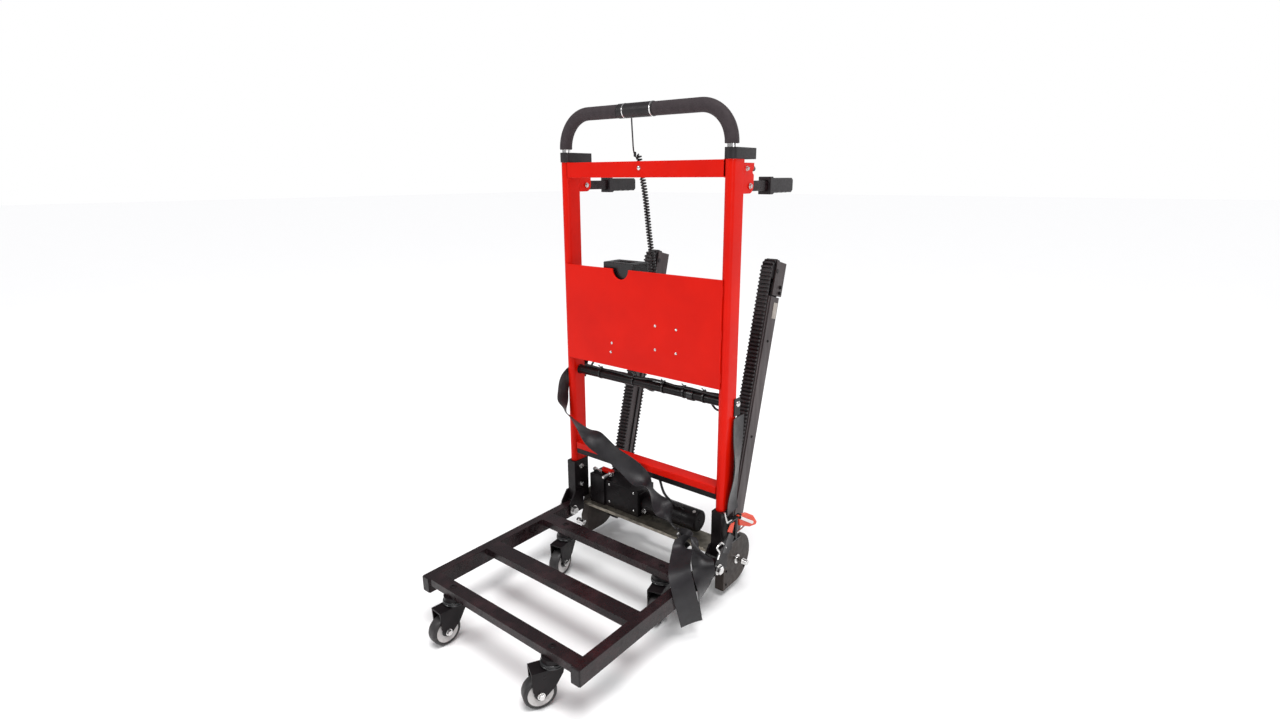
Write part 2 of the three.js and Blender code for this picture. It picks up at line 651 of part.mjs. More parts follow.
function buildPlatform() {
  const { halfWidth, railWidth, railHeight, top, memberHeight, front, rear, members } = PLATFORM;
  const bottom = top - railHeight;
  const solids = SIDES.map(({ sign }) => {
    const x0 = sign > 0 ? halfWidth - railWidth : -halfWidth;
    return box(x0, x0 + railWidth, front, rear, bottom, top);
  });
  const inside = halfWidth - railWidth + 1;
  for (const member of members) {
    solids.push(box(-inside, inside, member.front, member.rear, top - memberHeight, top));
  }
  const holes = SIDES.map(({ sign }) =>
    cylinderAlongX(sign * 258 - 20, sign * 258 + 20, HINGE.y, HINGE.z, HINGE.pin / 2 + 0.4, 16));
  piece('platform_frame', cut(join(...solids), ...holes), 'brownBlackPaint');
}

function buildCasters() {
  for (const [end, y] of [['front', CASTER.frontY], ['rear', CASTER.rearY]]) {
    for (const { side, sign } of SIDES) {
      const name = `${end}_${side}`;
      const caster = new THREE.Group();
      caster.position.set(sign * CASTER.x, y, FLOOR);
      caster.rotation.z = THREE.MathUtils.degToRad(CASTER.yaws[name]);
      truck.add(caster);
      piece(`${name}_caster_fork`, casterForkGeometry(), 'blackPaint', caster);
      const wheel = casterWheelGeometry().translate(0, CASTER.trail, CASTER.radius);
      piece(`${name}_caster_wheel`, wheel, 'tyre', caster);
    }
  }
}

// The fork of a caster, in a space with its swivel axis on Z and the floor at Z = 0. The wheel
// trails along +Y, under a flat crown with two tapered legs.
function casterForkGeometry() {
  const { radius, tyreWidth, trail, headRadius, crown, top } = CASTER;
  const clearance = 1.5;
  const sheet = 3;
  const axleRadius = 4;
  const inside = tyreWidth / 2 + clearance;
  const leg = new THREE.Shape();
  leg.moveTo(crown.rear, crown.top);
  leg.lineTo(crown.front, crown.top);
  leg.lineTo(crown.front + 3, crown.top - 15);
  leg.lineTo(trail - 33, radius + 15);
  leg.absarc(trail, radius, 11, 1.25 * Math.PI, 2 * Math.PI, false);
  leg.lineTo(crown.rear - 2, radius + 14);
  leg.closePath();
  const head = cylinderAlongZ(crown.top - 1, top, 0, 0, headRadius, 20);
  const plate = box(-inside - 1, inside + 1, crown.front, crown.rear, crown.bottom, crown.top);
  const axle = cylinderAlongX(-inside - sheet, inside + sheet, trail, radius, axleRadius, 12);
  const legs = [-inside - sheet, inside].map((x0) => extrudeAlongX(leg, x0, x0 + sheet, 8));
  return join(head, plate, ...legs, axle);
}

function casterWheelGeometry() {
  const { radius, tyreWidth } = CASTER;
  const half = tyreWidth / 2;
  return turnedAlongX([
    [4.4, -half], [12, -half], [12, -half + 3], [27, -half + 3], [27, -half], [radius - 2, -half],
    [radius, -half + 4], [radius, half - 4], [radius - 2, half], [27, half], [27, half - 3],
    [12, half - 3], [12, half], [4.4, half], [4.4, -half],
  ], 24);
}

// ---------------------------------------------------------------- strap

function buildRatchet() {
  const { x, y, bottom, top, tipY } = RATCHET;
  const sheet = 3;
  const plates = [bottom, top - sheet].map((z) => box(x - 7, x + 5, y - 36, y + 22, z, z + sheet));
  const spool = cylinderAlongZ(bottom + 1, top - 1, x, y, 5, 12);
  const tie = cylinderAlongZ(bottom + 1, top - 1, x - 1, y - 30, 4, 10);
  piece('ratchet_frame', join(...plates, spool, tie), 'brightSteel');
  const inner = [bottom + sheet + 1, top - 2 * sheet - 1];
  const arms = inner.map((z) => box(x - 6, x + 4, y - 8, tipY - 8, z, z + sheet));
  const grip = box(x - 7, x + 6, tipY - 34, tipY, bottom + sheet + 1, top - sheet - 1);
  const eye = cylinderAlongZ(bottom + sheet, top - sheet, x, y, 5.4, 12);
  piece('ratchet_handle', cut(join(...arms, grip), eye), 'orangePlastic');
}

function buildStraps() {
  const { width, thickness } = STRAP;
  const across = { down: [0, 0, 1], side: [0, 1, 0] };
  const front = [
    { at: [-284, 44, 548], across: [0, 0.2, 1] }, { at: [-292, 22, 530], across: [0, 0.1, 1] },
    { at: [-290, -2, 512], across: across.down }, { at: [-276, -18, 494], across: across.down },
    { at: [-248, -24, 474], across: across.down }, { at: [-190, -25, 436], across: [0.3, 0, 1] },
    { at: [-120, -25, 392], across: [0.4, 0, 1] }, { at: [-50, -25, 346], across: [0.45, 0, 1] },
    { at: [20, -26, 300], across: [0.45, 0, 1] }, { at: [80, -28, 262], across: [0.5, 0, 1] },
    { at: [140, -32, 226], across: [0.5, 0, 1] },
  ];
  piece('strap_front', ribbon(front, width, thickness), 'webbing');
  const side = [520, 480, 440, 400, 360, 320, 286].map((z) => (
    { at: [275.5, 54, z], across: across.side }));
  piece('strap_side', ribbon(side, width, thickness), 'webbing');
  const tail = [
    { at: [178, -60, 196], across: [1, 0.6, 0] }, { at: [208, -96, 192], across: [0.8, 1, 0] },
    { at: [240, -122, 180], across: [0.4, 1, 0] }, { at: [266, -132, 173], across: [0.1, 1, 0] },
    { at: [279, -137, 165], across: across.side }, { at: [283, -139, 140], across: across.side },
    { at: [284, -140, 110], across: across.side },
    { at: [285, -142, 80], across: across.side }, { at: [286, -144, 48], across: across.side },
  ];
  piece('strap_tail', ribbon(tail, width, thickness), 'webbing');
  const fold = [
    { at: [294, 2, 222], across: [0, 0.3, 1] }, { at: [295, -18, 196], across: [0, 0.7, 0.7] },
    { at: [295, -38, 160], across: [0, 1, 0.4] }, { at: [295, -54, 120], across: [0, 1, 0.3] },
    { at: [295, -64, 84], across: [0, 1, 0.2] },
  ];
  piece('strap_fold', ribbon(fold, width * 0.8, thickness), 'webbing');
}

buildUprights();
buildCrossMembers();
buildPanel();
buildSockets();
buildSideCasings();
buildDrive();
buildAxle();
buildTracks();
buildHandle();
buildCord();
buildBoxes();
buildGrips();
buildPlatform();
buildCasters();
buildRatchet();
buildStraps();

export default truck;
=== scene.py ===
"""The looks of a powered, tracked stair-climbing hand truck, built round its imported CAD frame."""
import json
import math
import random

import bmesh
import bpy
from mathutils import Matrix, Vector


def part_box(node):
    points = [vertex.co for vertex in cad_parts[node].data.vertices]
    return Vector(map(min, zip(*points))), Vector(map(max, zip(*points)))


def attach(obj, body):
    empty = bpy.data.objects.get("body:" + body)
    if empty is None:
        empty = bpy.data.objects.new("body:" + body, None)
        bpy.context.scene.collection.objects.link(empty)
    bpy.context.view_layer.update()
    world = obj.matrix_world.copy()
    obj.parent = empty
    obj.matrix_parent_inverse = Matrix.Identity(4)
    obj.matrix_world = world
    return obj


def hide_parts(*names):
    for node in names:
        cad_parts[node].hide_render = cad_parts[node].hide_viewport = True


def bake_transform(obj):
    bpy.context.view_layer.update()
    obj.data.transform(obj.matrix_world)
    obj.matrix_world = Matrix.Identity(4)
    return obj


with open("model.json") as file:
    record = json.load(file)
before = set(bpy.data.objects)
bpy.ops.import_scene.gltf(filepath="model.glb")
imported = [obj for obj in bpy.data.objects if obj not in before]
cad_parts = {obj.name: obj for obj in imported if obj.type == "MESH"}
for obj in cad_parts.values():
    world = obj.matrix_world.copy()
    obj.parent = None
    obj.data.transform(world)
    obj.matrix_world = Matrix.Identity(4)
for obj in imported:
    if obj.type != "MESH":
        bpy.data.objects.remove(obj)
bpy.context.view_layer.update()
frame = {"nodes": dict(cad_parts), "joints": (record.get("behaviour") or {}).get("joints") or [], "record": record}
NODES = frame["nodes"]
BODY_OF = {node: body for body, nodes in frame["record"]["behaviour"]["bodies"].items() for node in nodes}
SIDES = (("left", -1), ("right", 1))
CASTERS = ("front_left", "front_right", "rear_left", "rear_right")
MM = 0.001


UPRIGHT_FOOT = 172
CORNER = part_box("left_upright")[0]


def at(x, y, z):
    """A point in millimetres: y goes back from the front of the uprights, whose feet are at z = 172."""
    return Vector((x * MM, CORNER.y + y * MM, CORNER.z + (z - UPRIGHT_FOOT) * MM))


# ---------------------------------------------------------------- camera, light and floor

def make_camera():
    azimuth, pitch, roll = math.radians(38.9), math.radians(15.27), math.radians(-0.24)
    camera = bpy.data.objects.new("camera", bpy.data.cameras.new("camera"))
    camera.data.sensor_width = 36
    camera.data.lens = 18.853
    turn = Matrix.Rotation(azimuth, 4, "Z") @ Matrix.Rotation(math.pi / 2 - pitch, 4, "X")
    place = Matrix.Translation(at(1080.6, -1333.3, 1122.3))
    camera.matrix_world = place @ turn @ Matrix.Rotation(roll, 4, "Z")
    bpy.context.scene.collection.objects.link(camera)
    bpy.context.scene.camera = camera


def area_light(name, place, aim, size, power):
    light = bpy.data.objects.new(name, bpy.data.lights.new(name, "AREA"))
    light.data.shape = "RECTANGLE"
    light.data.size, light.data.size_y = size
    light.data.energy = power
    light.location = place
    light.rotation_euler = (Vector(aim) - Vector(place)).to_track_quat("-Z", "Y").to_euler()
    bpy.context.scene.collection.objects.link(light)


def sun_light(name, toward, angle, strength):
    light = bpy.data.objects.new(name, bpy.data.lights.new(name, "SUN"))
    light.data.angle = math.radians(angle)
    light.data.energy = strength
    light.rotation_euler = Vector(toward).to_track_quat("Z", "Y").to_euler()
    bpy.context.scene.collection.objects.link(light)


def make_light():
    middle = (0, 0, 0.6)
    area_light("key", (-1.8, -3.0, 2.8), middle, (1.3, 1.3), 44)
    area_light("fill", (3.6, -1.2, 1.6), middle, (0.9, 2.2), 24)
    sun_light("top", (0.25, -0.15, 1), 30, 2.5)
    area_light("back", (1.2, 3.4, 2.0), middle, (2.0, 1.6), 20)
    world = bpy.data.worlds.new("studio")
    world.use_nodes = True
    tree = world.node_tree
    tree.nodes["Background"].inputs["Strength"].default_value = 1.0
    shade = tree.nodes.new("ShaderNodeMix")
    shade.data_type = "RGBA"
    shade.inputs[6].default_value = (0.34, 0.34, 0.35, 1)
    shade.inputs[7].default_value = (1, 1, 1, 1)
    ray = tree.nodes.new("ShaderNodeLightPath")
    tree.links.new(ray.outputs["Is Camera Ray"], shade.inputs[0])
    tree.links.new(shade.outputs[2], tree.nodes["Background"].inputs["Color"])
    bpy.context.scene.world = world
    bpy.context.scene.view_settings.view_transform = "Standard"


def make_floor():
    mesh = bpy.data.meshes.new("floor")
    reach = 40
    corners = [(-reach, -reach, 0), (reach, -reach, 0), (reach, reach, 0), (-reach, reach, 0)]
    mesh.from_pydata(corners, [], [(0, 1, 2, 3)])
    floor = bpy.data.objects.new("floor", mesh)
    floor.data.materials.append(plain_floor())
    bpy.context.scene.collection.objects.link(floor)


# ---------------------------------------------------------------- materials

class Look:
    """A node material: a Principled shader plus helpers that feed it from object coordinates."""

    def __init__(self, name, color, roughness, metallic=0.0):
        self.material = bpy.data.materials.new(name)
        self.material.use_nodes = True
        self.tree = self.material.node_tree
        self.shader = self.tree.nodes["Principled BSDF"]
        self.set("Base Color", (*color, 1))
        self.set("Roughness", roughness)
        self.set("Metallic", metallic)
        self.color = color
        self.roughness = roughness
        self.coordinates = self.tree.nodes.new("ShaderNodeTexCoord").outputs["Object"]
        self.height = None

    def set(self, socket, value):
        self.shader.inputs[socket].default_value = value

    def link(self, output, input_socket):
        self.tree.links.new(output, input_socket)

    def noise(self, scale, detail=3.0, stretch=(1, 1, 1)):
        mapping = self.tree.nodes.new("ShaderNodeMapping")
        mapping.inputs["Scale"].default_value = stretch
        self.link(self.coordinates, mapping.inputs["Vector"])
        noise = self.tree.nodes.new("ShaderNodeTexNoise")
        noise.inputs["Scale"].default_value = scale
        noise.inputs["Detail"].default_value = detail
        self.link(mapping.outputs["Vector"], noise.inputs["Vector"])
        return noise.outputs["Fac"]

    def cells(self, scale, feature="F1", stretch=(1, 1, 1)):
        mapping = self.tree.nodes.new("ShaderNodeMapping")
        mapping.inputs["Scale"].default_value = stretch
        self.link(self.coordinates, mapping.inputs["Vector"])
        voronoi = self.tree.nodes.new("ShaderNodeTexVoronoi")
        voronoi.feature = feature
        voronoi.inputs["Scale"].default_value = scale
        self.link(mapping.outputs["Vector"], voronoi.inputs["Vector"])
        return voronoi.outputs["Distance"]

    def waves(self, scale, direction):
        wave = self.tree.nodes.new("ShaderNodeTexWave")
        wave.bands_direction = direction
        wave.inputs["Scale"].default_value = scale
        self.link(self.coordinates, wave.inputs["Vector"])
        return wave.outputs["Fac"]

    def remap(self, value, low, high, start=0.3, end=0.7):
        node = self.tree.nodes.new("ShaderNodeMapRange")
        node.inputs["From Min"].default_value = start
        node.inputs["From Max"].default_value = end
        node.inputs["To Min"].default_value = low
        node.inputs["To Max"].default_value = high
        self.link(value, node.inputs["Value"])
        return node.outputs["Result"]

    def vary_roughness(self, value, spread, start=0.3, end=0.7):
        result = self.remap(value, self.roughness - spread, self.roughness + spread, start, end)
        self.link(result, self.shader.inputs["Roughness"])
        return self

    def vary_color(self, value, other, start=0.3, end=0.7):
        """Blends the colour towards another one where the value is high."""
        mix = self.tree.nodes.new("ShaderNodeMix")
        mix.data_type = "RGBA"
        mix.inputs[6].default_value = (*self.color, 1)
        mix.inputs[7].default_value = (*other, 1)
        self.link(self.remap(value, 0, 1, start, end), mix.inputs[0])
        self.link(mix.outputs[2], self.shader.inputs["Base Color"])
        return self

    def bump(self, value, strength, distance=0.0005):
        node = self.tree.nodes.new("ShaderNodeBump")
        node.inputs["Strength"].default_value = strength
        node.inputs["Distance"].default_value = distance
        self.link(value, node.inputs["Height"])
        if self.height is not None:
            self.link(self.height, node.inputs["Normal"])
        self.height = node.outputs["Normal"]
        self.link(self.height, self.shader.inputs["Normal"])
        return self


def plain_floor():
    look = Look("floor_paper", (0.93, 0.93, 0.93), 0.8)
    look.vary_roughness(look.noise(3), 0.05)
    return look.material


def red_paint():
    look = Look("red_paint", (0.72, 0.008, 0.001), 0.34)
    look.set("Specular IOR Level", 0.12)
    look.vary_color(look.noise(9), (0.64, 0.006, 0.001))
    look.vary_roughness(look.noise(40), 0.06)
    look.bump(look.noise(420, 2), 0.12, 0.0002)
    return look.material


def black_paint():
    look = Look("black_paint", (0.005, 0.004, 0.0045), 0.36)
    look.set("Specular IOR Level", 0.2)
    look.vary_color(look.noise(22), (0.011, 0.008, 0.009))
    look.vary_roughness(look.noise(60), 0.1)
    look.bump(look.cells(700), 0.18, 0.0003)
    return look.material


def brown_black_paint():
    look = Look("brown_black_paint", (0.010, 0.005, 0.006), 0.3)
    look.set("Specular IOR Level", 0.3)
    look.vary_color(look.noise(26, 6), (0.028, 0.012, 0.014), 0.45, 0.75)
    look.vary_roughness(look.noise(90, 5), 0.14)
    look.bump(look.noise(330, 3), 0.2, 0.0003)
    return look.material


def warm_grey_metal():
    look = Look("warm_grey_metal", (0.075, 0.058, 0.059), 0.42, 0.5)
    look.vary_color(look.noise(34, 5, (1, 1, 0.12)), (0.036, 0.027, 0.028))
    look.vary_roughness(look.noise(70, 4, (1, 1, 0.1)), 0.12)
    look.bump(look.noise(260, 2, (1, 1, 0.08)), 0.12, 0.0002)
    return look.material


def casing_cover():
    look = Look("casing_cover", (0.044, 0.033, 0.027), 0.5, 0.2)
    look.set("Specular IOR Level", 0.3)
    look.vary_color(look.noise(15, 5), (0.028, 0.021, 0.019))
    look.vary_roughness(look.noise(80, 4), 0.1)
    look.bump(look.cells(900), 0.12, 0.0002)
    return look.material


def bright_steel():
    look = Look("bright_steel", (0.72, 0.71, 0.70), 0.2, 1.0)
    look.vary_roughness(look.noise(120, 5), 0.08)
    look.bump(look.noise(500, 2), 0.06, 0.0001)
    return look.material


def zinc_plate():
    look = Look("zinc_plate", (0.20, 0.18, 0.15), 0.36, 0.8)
    look.vary_color(look.cells(60), (0.30, 0.27, 0.22))
    look.vary_roughness(look.noise(45, 4), 0.1)
    return look.material


def dark_plastic():
    look = Look("dark_plastic", (0.022, 0.018, 0.020), 0.46)
    look.set("Specular IOR Level", 0.3)
    look.vary_color(look.noise(30), (0.013, 0.011, 0.012))
    look.vary_roughness(look.noise(150, 4), 0.08)
    look.bump(look.cells(1300), 0.3, 0.0002)
    return look.material


def black_plastic():
    look = Look("black_plastic", (0.008, 0.008, 0.009), 0.3)
    look.vary_roughness(look.noise(90, 4), 0.08)
    look.bump(look.noise(700, 2), 0.05, 0.0001)
    return look.material


def grip_foam():
    look = Look("grip_foam", (0.038, 0.029, 0.032), 0.72)
    look.set("Specular IOR Level", 0.25)
    look.vary_color(look.noise(60, 4), (0.050, 0.039, 0.043))
    look.vary_roughness(look.noise(160, 4), 0.08)
    look.bump(look.cells(1500), 0.3, 0.0002)
    look.bump(look.noise(180, 4), 0.1, 0.0003)
    return look.material


def belt_rubber():
    look = Look("belt_rubber", (0.012, 0.010, 0.011), 0.5)
    look.set("Specular IOR Level", 0.35)
    look.vary_color(look.noise(70, 5), (0.036, 0.030, 0.032))
    look.vary_roughness(look.noise(140, 4), 0.1)
    look.bump(look.noise(520, 3), 0.25, 0.0003)
    return look.material


def tyre_rubber():
    look = Look("tyre_rubber", (0.012, 0.011, 0.012), 0.5)
    look.vary_color(look.noise(90, 4), (0.024, 0.021, 0.021))
    look.vary_roughness(look.noise(120, 4), 0.1)
    look.bump(look.noise(600, 2), 0.15, 0.0002)
    return look.material


def pale_hub():
    look = Look("pale_hub", (0.55, 0.53, 0.52), 0.42)
    look.vary_color(look.noise(80, 4), (0.40, 0.37, 0.36), 0.5, 0.8)
    look.vary_roughness(look.noise(100), 0.08)
    return look.material


def strap_webbing():
    look = Look("strap_webbing", (0.009, 0.008, 0.009), 0.42)
    look.set("Specular IOR Level", 0.35)
    look.set("Sheen Weight", 0.06)
    look.set("Sheen Roughness", 0.35)
    look.vary_color(look.noise(26, 4), (0.018, 0.016, 0.019))
    look.vary_roughness(look.noise(55, 4), 0.07)
    look.bump(look.waves(260, "DIAGONAL"), 0.25, 0.0004)
    look.bump(look.cells(1100), 0.2, 0.0003)
    return look.material


def orange_plastic():
    look = Look("orange_plastic", (0.75, 0.055, 0.012), 0.35)
    look.set("Specular IOR Level", 0.25)
    look.vary_color(look.noise(90), (0.72, 0.060, 0.025))
    look.vary_roughness(look.noise(130), 0.08)
    return look.material


def cable_rubber():
    look = Look("cable_rubber", (0.010, 0.009, 0.010), 0.4)
    look.vary_roughness(look.noise(150, 4), 0.1)
    look.bump(look.noise(900, 2), 0.08, 0.0001)
    return look.material


def blank_label():
    look = Look("blank_label", (0.42, 0.38, 0.34), 0.45)
    look.vary_color(look.noise(50, 4), (0.30, 0.26, 0.23))
    look.vary_roughness(look.noise(120), 0.06)
    return look.material


# ---------------------------------------------------------------- mesh tools

def smooth_by_angle(mesh, degrees=35):
    """Smooth shading, with edges sharper than the angle kept sharp."""
    bm = bmesh.new()
    bm.from_mesh(mesh)
    for face in bm.faces:
        face.smooth = True
    for edge in bm.edges:
        edge.smooth = edge.calc_face_angle(0.0) < math.radians(degrees)
    bm.to_mesh(mesh)
    bm.free()


def add_object(name, mesh, material, body, stands_for=(), bevel=0.0, steps=2, slot=None):
    """Puts a mesh into the scene as one piece that rides on a body."""
    smooth_by_angle(mesh)
    piece = bpy.data.objects.new(name, mesh)
    bpy.context.scene.collection.objects.link(piece)
    mesh.materials.clear()
    mesh.materials.append(material)
    if bevel:
        modifier = piece.modifiers.new("edges", "BEVEL")
        modifier.width = bevel
        modifier.segments = steps
        modifier.limit_method = "ANGLE"
        modifier.angle_limit = math.radians(38)
        modifier.harden_normals = True
    if body:
        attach(piece, body)
    if stands_for:
        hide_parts(*stands_for)
    return piece


def refined(node, material, bevel, steps=2, prefix="fine_"):
    """A copy of a CAD node with merged faces and rounded edges, which stands for it."""
    mesh = NODES[node].data.copy()
    bm = bmesh.new()
    bm.from_mesh(mesh)
    bmesh.ops.remove_doubles(bm, verts=bm.verts, dist=0.00002)
    bmesh.ops.dissolve_limit(bm, angle_limit=math.radians(1), verts=bm.verts, edges=bm.edges)
    bm.to_mesh(mesh)
    bm.free()
    mesh.name = prefix + node
    return add_object(prefix + node, mesh, material, BODY_OF[node], [node], bevel, steps)


class Parts:
    """Collects closed shapes that become one mesh."""

    def __init__(self):
        self.points = []
        self.faces = []

    def add(self, points, faces):
        start = len(self.points)
        self.points.extend(tuple(p) for p in points)
        self.faces.extend([tuple(start + i for i in face) for face in faces])
        return self

    def build(self, name, material, body, **more):
        mesh = bpy.data.meshes.new(name)
        mesh.from_pydata(self.points, [], self.faces)
        bm = bmesh.new()
        bm.from_mesh(mesh)
        bmesh.ops.recalc_face_normals(bm, faces=bm.faces)
        bm.to_mesh(mesh)
        bm.free()
        return add_object(name, mesh, material, body, **more)

    def box(self, low, high):
        """A box between two corners, with X, Y and Z sides."""
        xs, ys, zs = zip(low, high)
        corners = [(x, y, z) for x in xs for y in ys for z in zs]
        faces = [(0, 1, 3, 2), (4, 6, 7, 5), (0, 4, 5, 1), (2, 3, 7, 6), (0, 2, 6, 4), (1, 5, 7, 3)]
        return self.add(corners, faces)

    def turned(self, profile, place, axis, sides=32):
        """A profile of (radius, distance along the axis) pairs, in metres, turned about an axis."""
        turn = Vector(axis).normalized().to_track_quat("Z", "Y").to_matrix()
        points, faces = [], []
        for radius, along in profile:
            for i in range(sides):
                angle = 2 * math.pi * i / sides
                local = Vector((radius * math.cos(angle), radius * math.sin(angle), along))
                points.append(Vector(place) + turn @ local)
        for ring in range(len(profile) - 1):
            for i in range(sides):
                j = (i + 1) % sides
                a, b = ring * sides, (ring + 1) * sides
                faces.append((a + i, a + j, b + j, b + i))
        if profile[0] != profile[-1]:
            faces.append(tuple(range(sides))[::-1])
            faces.append(tuple(range((len(profile) - 1) * sides, len(profile) * sides)))
        else:
            faces = faces[:-sides] + [
                (a + i, a + (i + 1) % sides, (i + 1) % sides, i)
                for a in [(len(profile) - 2) * sides] for i in range(sides)]
            points = points[:-sides]
        return self.add(points, faces)

    def swept(self, path, radius, sides=12, squash=1.0):
        """A round tube with closed ends that follows a list of points."""
        path = [Vector(p) for p in path]
        side = None
        points, faces = [], []
        for i, point in enumerate(path):
            ahead = (path[min(i + 1, len(path) - 1)] - path[max(i - 1, 0)]).normalized()
            if side is None:
                side = ahead.orthogonal().normalized()
            side = (side - ahead * side.dot(ahead)).normalized()
            other = ahead.cross(side)
            for k in range(sides):
                angle = 2 * math.pi * k / sides
                offset = side * math.cos(angle) + other * math.sin(angle) * squash
                points.append(point + offset * radius)
        for i in range(len(path) - 1):
            for k in range(sides):
                n = (k + 1) % sides
                faces.append((i * sides + k, i * sides + n, (i + 1) * sides + n, (i + 1) * sides + k))
        faces.append(tuple(range(sides))[::-1])
        faces.append(tuple(range((len(path) - 1) * sides, len(path) * sides)))
        return self.add(points, faces)

    def prism(self, outline, origin, across, up, depth):
        """A flat outline of (a, b) pairs in the plane of across and up, thickened along their normal."""
        across, up = Vector(across), Vector(up)
        normal = across.cross(up).normalized()
        base = [Vector(origin) + across * a + up * b for a, b in outline]
        count = len(base)
        points = base + [p + normal * depth for p in base]
        faces = [tuple(range(count))[::-1], tuple(range(count, 2 * count))]
        for i in range(count):
            j = (i + 1) % count
            faces.append((i, j, count + j, count + i))
        return self.add(points, faces)

    def hex_bolt(self, place, axis, across_flats, height):
        """A washer and a hexagon head that stand out of a face along the axis."""
        washer = across_flats * 0.72
        self.turned([(washer, 0), (washer, height * 0.2), (0.001, height * 0.2)], place, axis, 24)
        radius = across_flats / math.sqrt(3)
        head = [(radius, height * 0.2), (radius, height * 0.85), (radius * 0.86, height), (0.0005, height)]
        return self.turned(head, place, axis, 6)

    def pan_screw(self, place, axis, diameter, height):
        """A domed screw head with a cross recess."""
        radius = diameter / 2
        dome = [(radius, 0), (radius * 0.95, height * 0.5), (radius * 0.7, height * 0.85),
                (radius * 0.3, height)]
        recess = [(radius * 0.26, height * 0.45), (0.0002, height * 0.4)]
        return self.turned(dome + recess, place, axis, 20)


def smooth_path(points, steps=8):
    """A curve through the points, as a finer list."""
    points = [Vector(p) for p in points]
    ends = [points[0] * 2 - points[1], *points, points[-1] * 2 - points[-2]]
    path = []
    for a, b, c, d in zip(ends, ends[1:], ends[2:], ends[3:]):
        for i in range(steps):
            t = i / steps
            path.append(0.5 * (2 * b + (c - a) * t + (2 * a - 5 * b + 4 * c - d) * t**2
                               + (3 * b - a - 3 * c + d) * t**3))
    return [*path, points[-1]]


def arc(centre, radius, start, end, steps):
    """Points of an arc in a plane, with angles in degrees."""
    angles = [math.radians(start + (end - start) * i / steps) for i in range(steps + 1)]
    return [(centre[0] + radius * math.cos(a), centre[1] + radius * math.sin(a)) for a in angles]


def spread(a, b, count):
    return [a + (b - a) * i / (count - 1) for i in range(count)]


make_camera()
make_light()
make_floor()

RED = red_paint()
BLACK = black_paint()
BROWN_BLACK = brown_black_paint()
WARM_GREY = warm_grey_metal()
CASING = casing_cover()
STEEL = bright_steel()
ZINC = zinc_plate()
PLASTIC = dark_plastic()
GLOSS_BLACK = black_plastic()
FOAM = grip_foam()
BELT = belt_rubber()
TYRE = tyre_rubber()
HUB = pale_hub()
WEBBING = strap_webbing()
ORANGE = orange_plastic()
CABLE = cable_rubber()
LABEL = blank_label()


# ---------------------------------------------------------------- cords

def helix_along(path, radius, pitch, per_turn=14):
    """Points of a coil of the given radius wound round a path."""
    path = [Vector(p) for p in path]
    lengths = [0.0]
    for a, b in zip(path, path[1:]):
        lengths.append(lengths[-1] + (b - a).length)
    turns = lengths[-1] / pitch
    count = int(turns * per_turn)
    points = []
    for i in range(count + 1):
        distance = lengths[-1] * i / count
        k = max(j for j in range(len(path) - 1) if lengths[j] <= distance + 1e-9)
        share = (distance - lengths[k]) / (lengths[k + 1] - lengths[k])
        middle = path[k].lerp(path[k + 1], share)
        ahead = (path[k + 1] - path[k]).normalized()
        side = ahead.cross(Vector((0, 1, 0))).normalized()
        other = ahead.cross(side)
        angle = 2 * math.pi * i / per_turn
        ease = min(1, 4 * i / per_turn / 3, 4 * (count - i) / per_turn / 3)
        points.append(middle + (side * math.cos(angle) + other * math.sin(angle)) * radius * ease)
    return points


def make_control_cord():
    lead_route = [at(-30, 14, 1262), at(-32, 18, 1240), at(-39, 29, 1214), at(-46, 40, 1190),
                  at(-46, 46, 1176), at(-40, 46, 1170), at(-34, 45, 1177)]
    lead = Parts().swept(smooth_path(lead_route), 1.9 * MM)
    lead.build("control_lead_cable", CABLE, "handle", stands_for=["control_lead"])
    coil_route = [at(-34, 45, 1178), at(-14, 46, 1083), at(0, 46, 980), at(14, 45, 900), at(28, 44, 830),
                  at(30, 44, 812)]
    turns = helix_along(smooth_path(coil_route, 12), 6.1 * MM, 7.4 * MM)
    coil = Parts().swept(turns, 2.1 * MM, 8)
    coil_piece = coil.build("coiled_cord_turns", CABLE, None, stands_for=["coiled_cord"])
    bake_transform(coil_piece)
    sleeve = Parts()
    sleeve.turned([(2.6 * MM, -6 * MM), (3.4 * MM, -4 * MM), (3.4 * MM, 4 * MM), (2.4 * MM, 6 * MM)],
                  at(-46, 46, 1178), (0, 0.1, 1), 16)
    sleeve.build("coil_top_sleeve", CABLE, "handle")
    gland = Parts()
    gland.turned([(10 * MM, -1 * MM), (10 * MM, 4 * MM), (7.5 * MM, 5 * MM), (6.5 * MM, 12 * MM)],
                 at(30, 44, 806), (0, 0, 1), 24)
    gland.build("control_box_gland", GLOSS_BLACK, "frame")


# ---------------------------------------------------------------- frame

def make_frame():
    for side, sign in SIDES:
        refined(f"{side}_upright", RED, 0.9 * MM)
        refined(f"{side}_collar", PLASTIC, 1.6 * MM, 3)
        refined(f"{side}_socket", BLACK, 1.2 * MM)
    refined("top_rail", RED, 1.6 * MM, 3)
    refined("lower_rail", RED, 2.2 * MM, 3)
    refined("base_crossbar", BLACK, 1.6 * MM)
    refined("front_panel", RED, 0.8 * MM)
    refined("base_tray", ZINC, 0.6 * MM)
    tube = Parts()
    low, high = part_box("cable_tube")
    middle = (low + high) / 2
    radius = (high.z - low.z) / 2
    tube.turned([(radius, 0), (radius, high.x - low.x)], (low.x, middle.y, middle.z), (1, 0, 0), 40)
    tube.build("round_cable_tube", BLACK, "frame", stands_for=["cable_tube"])


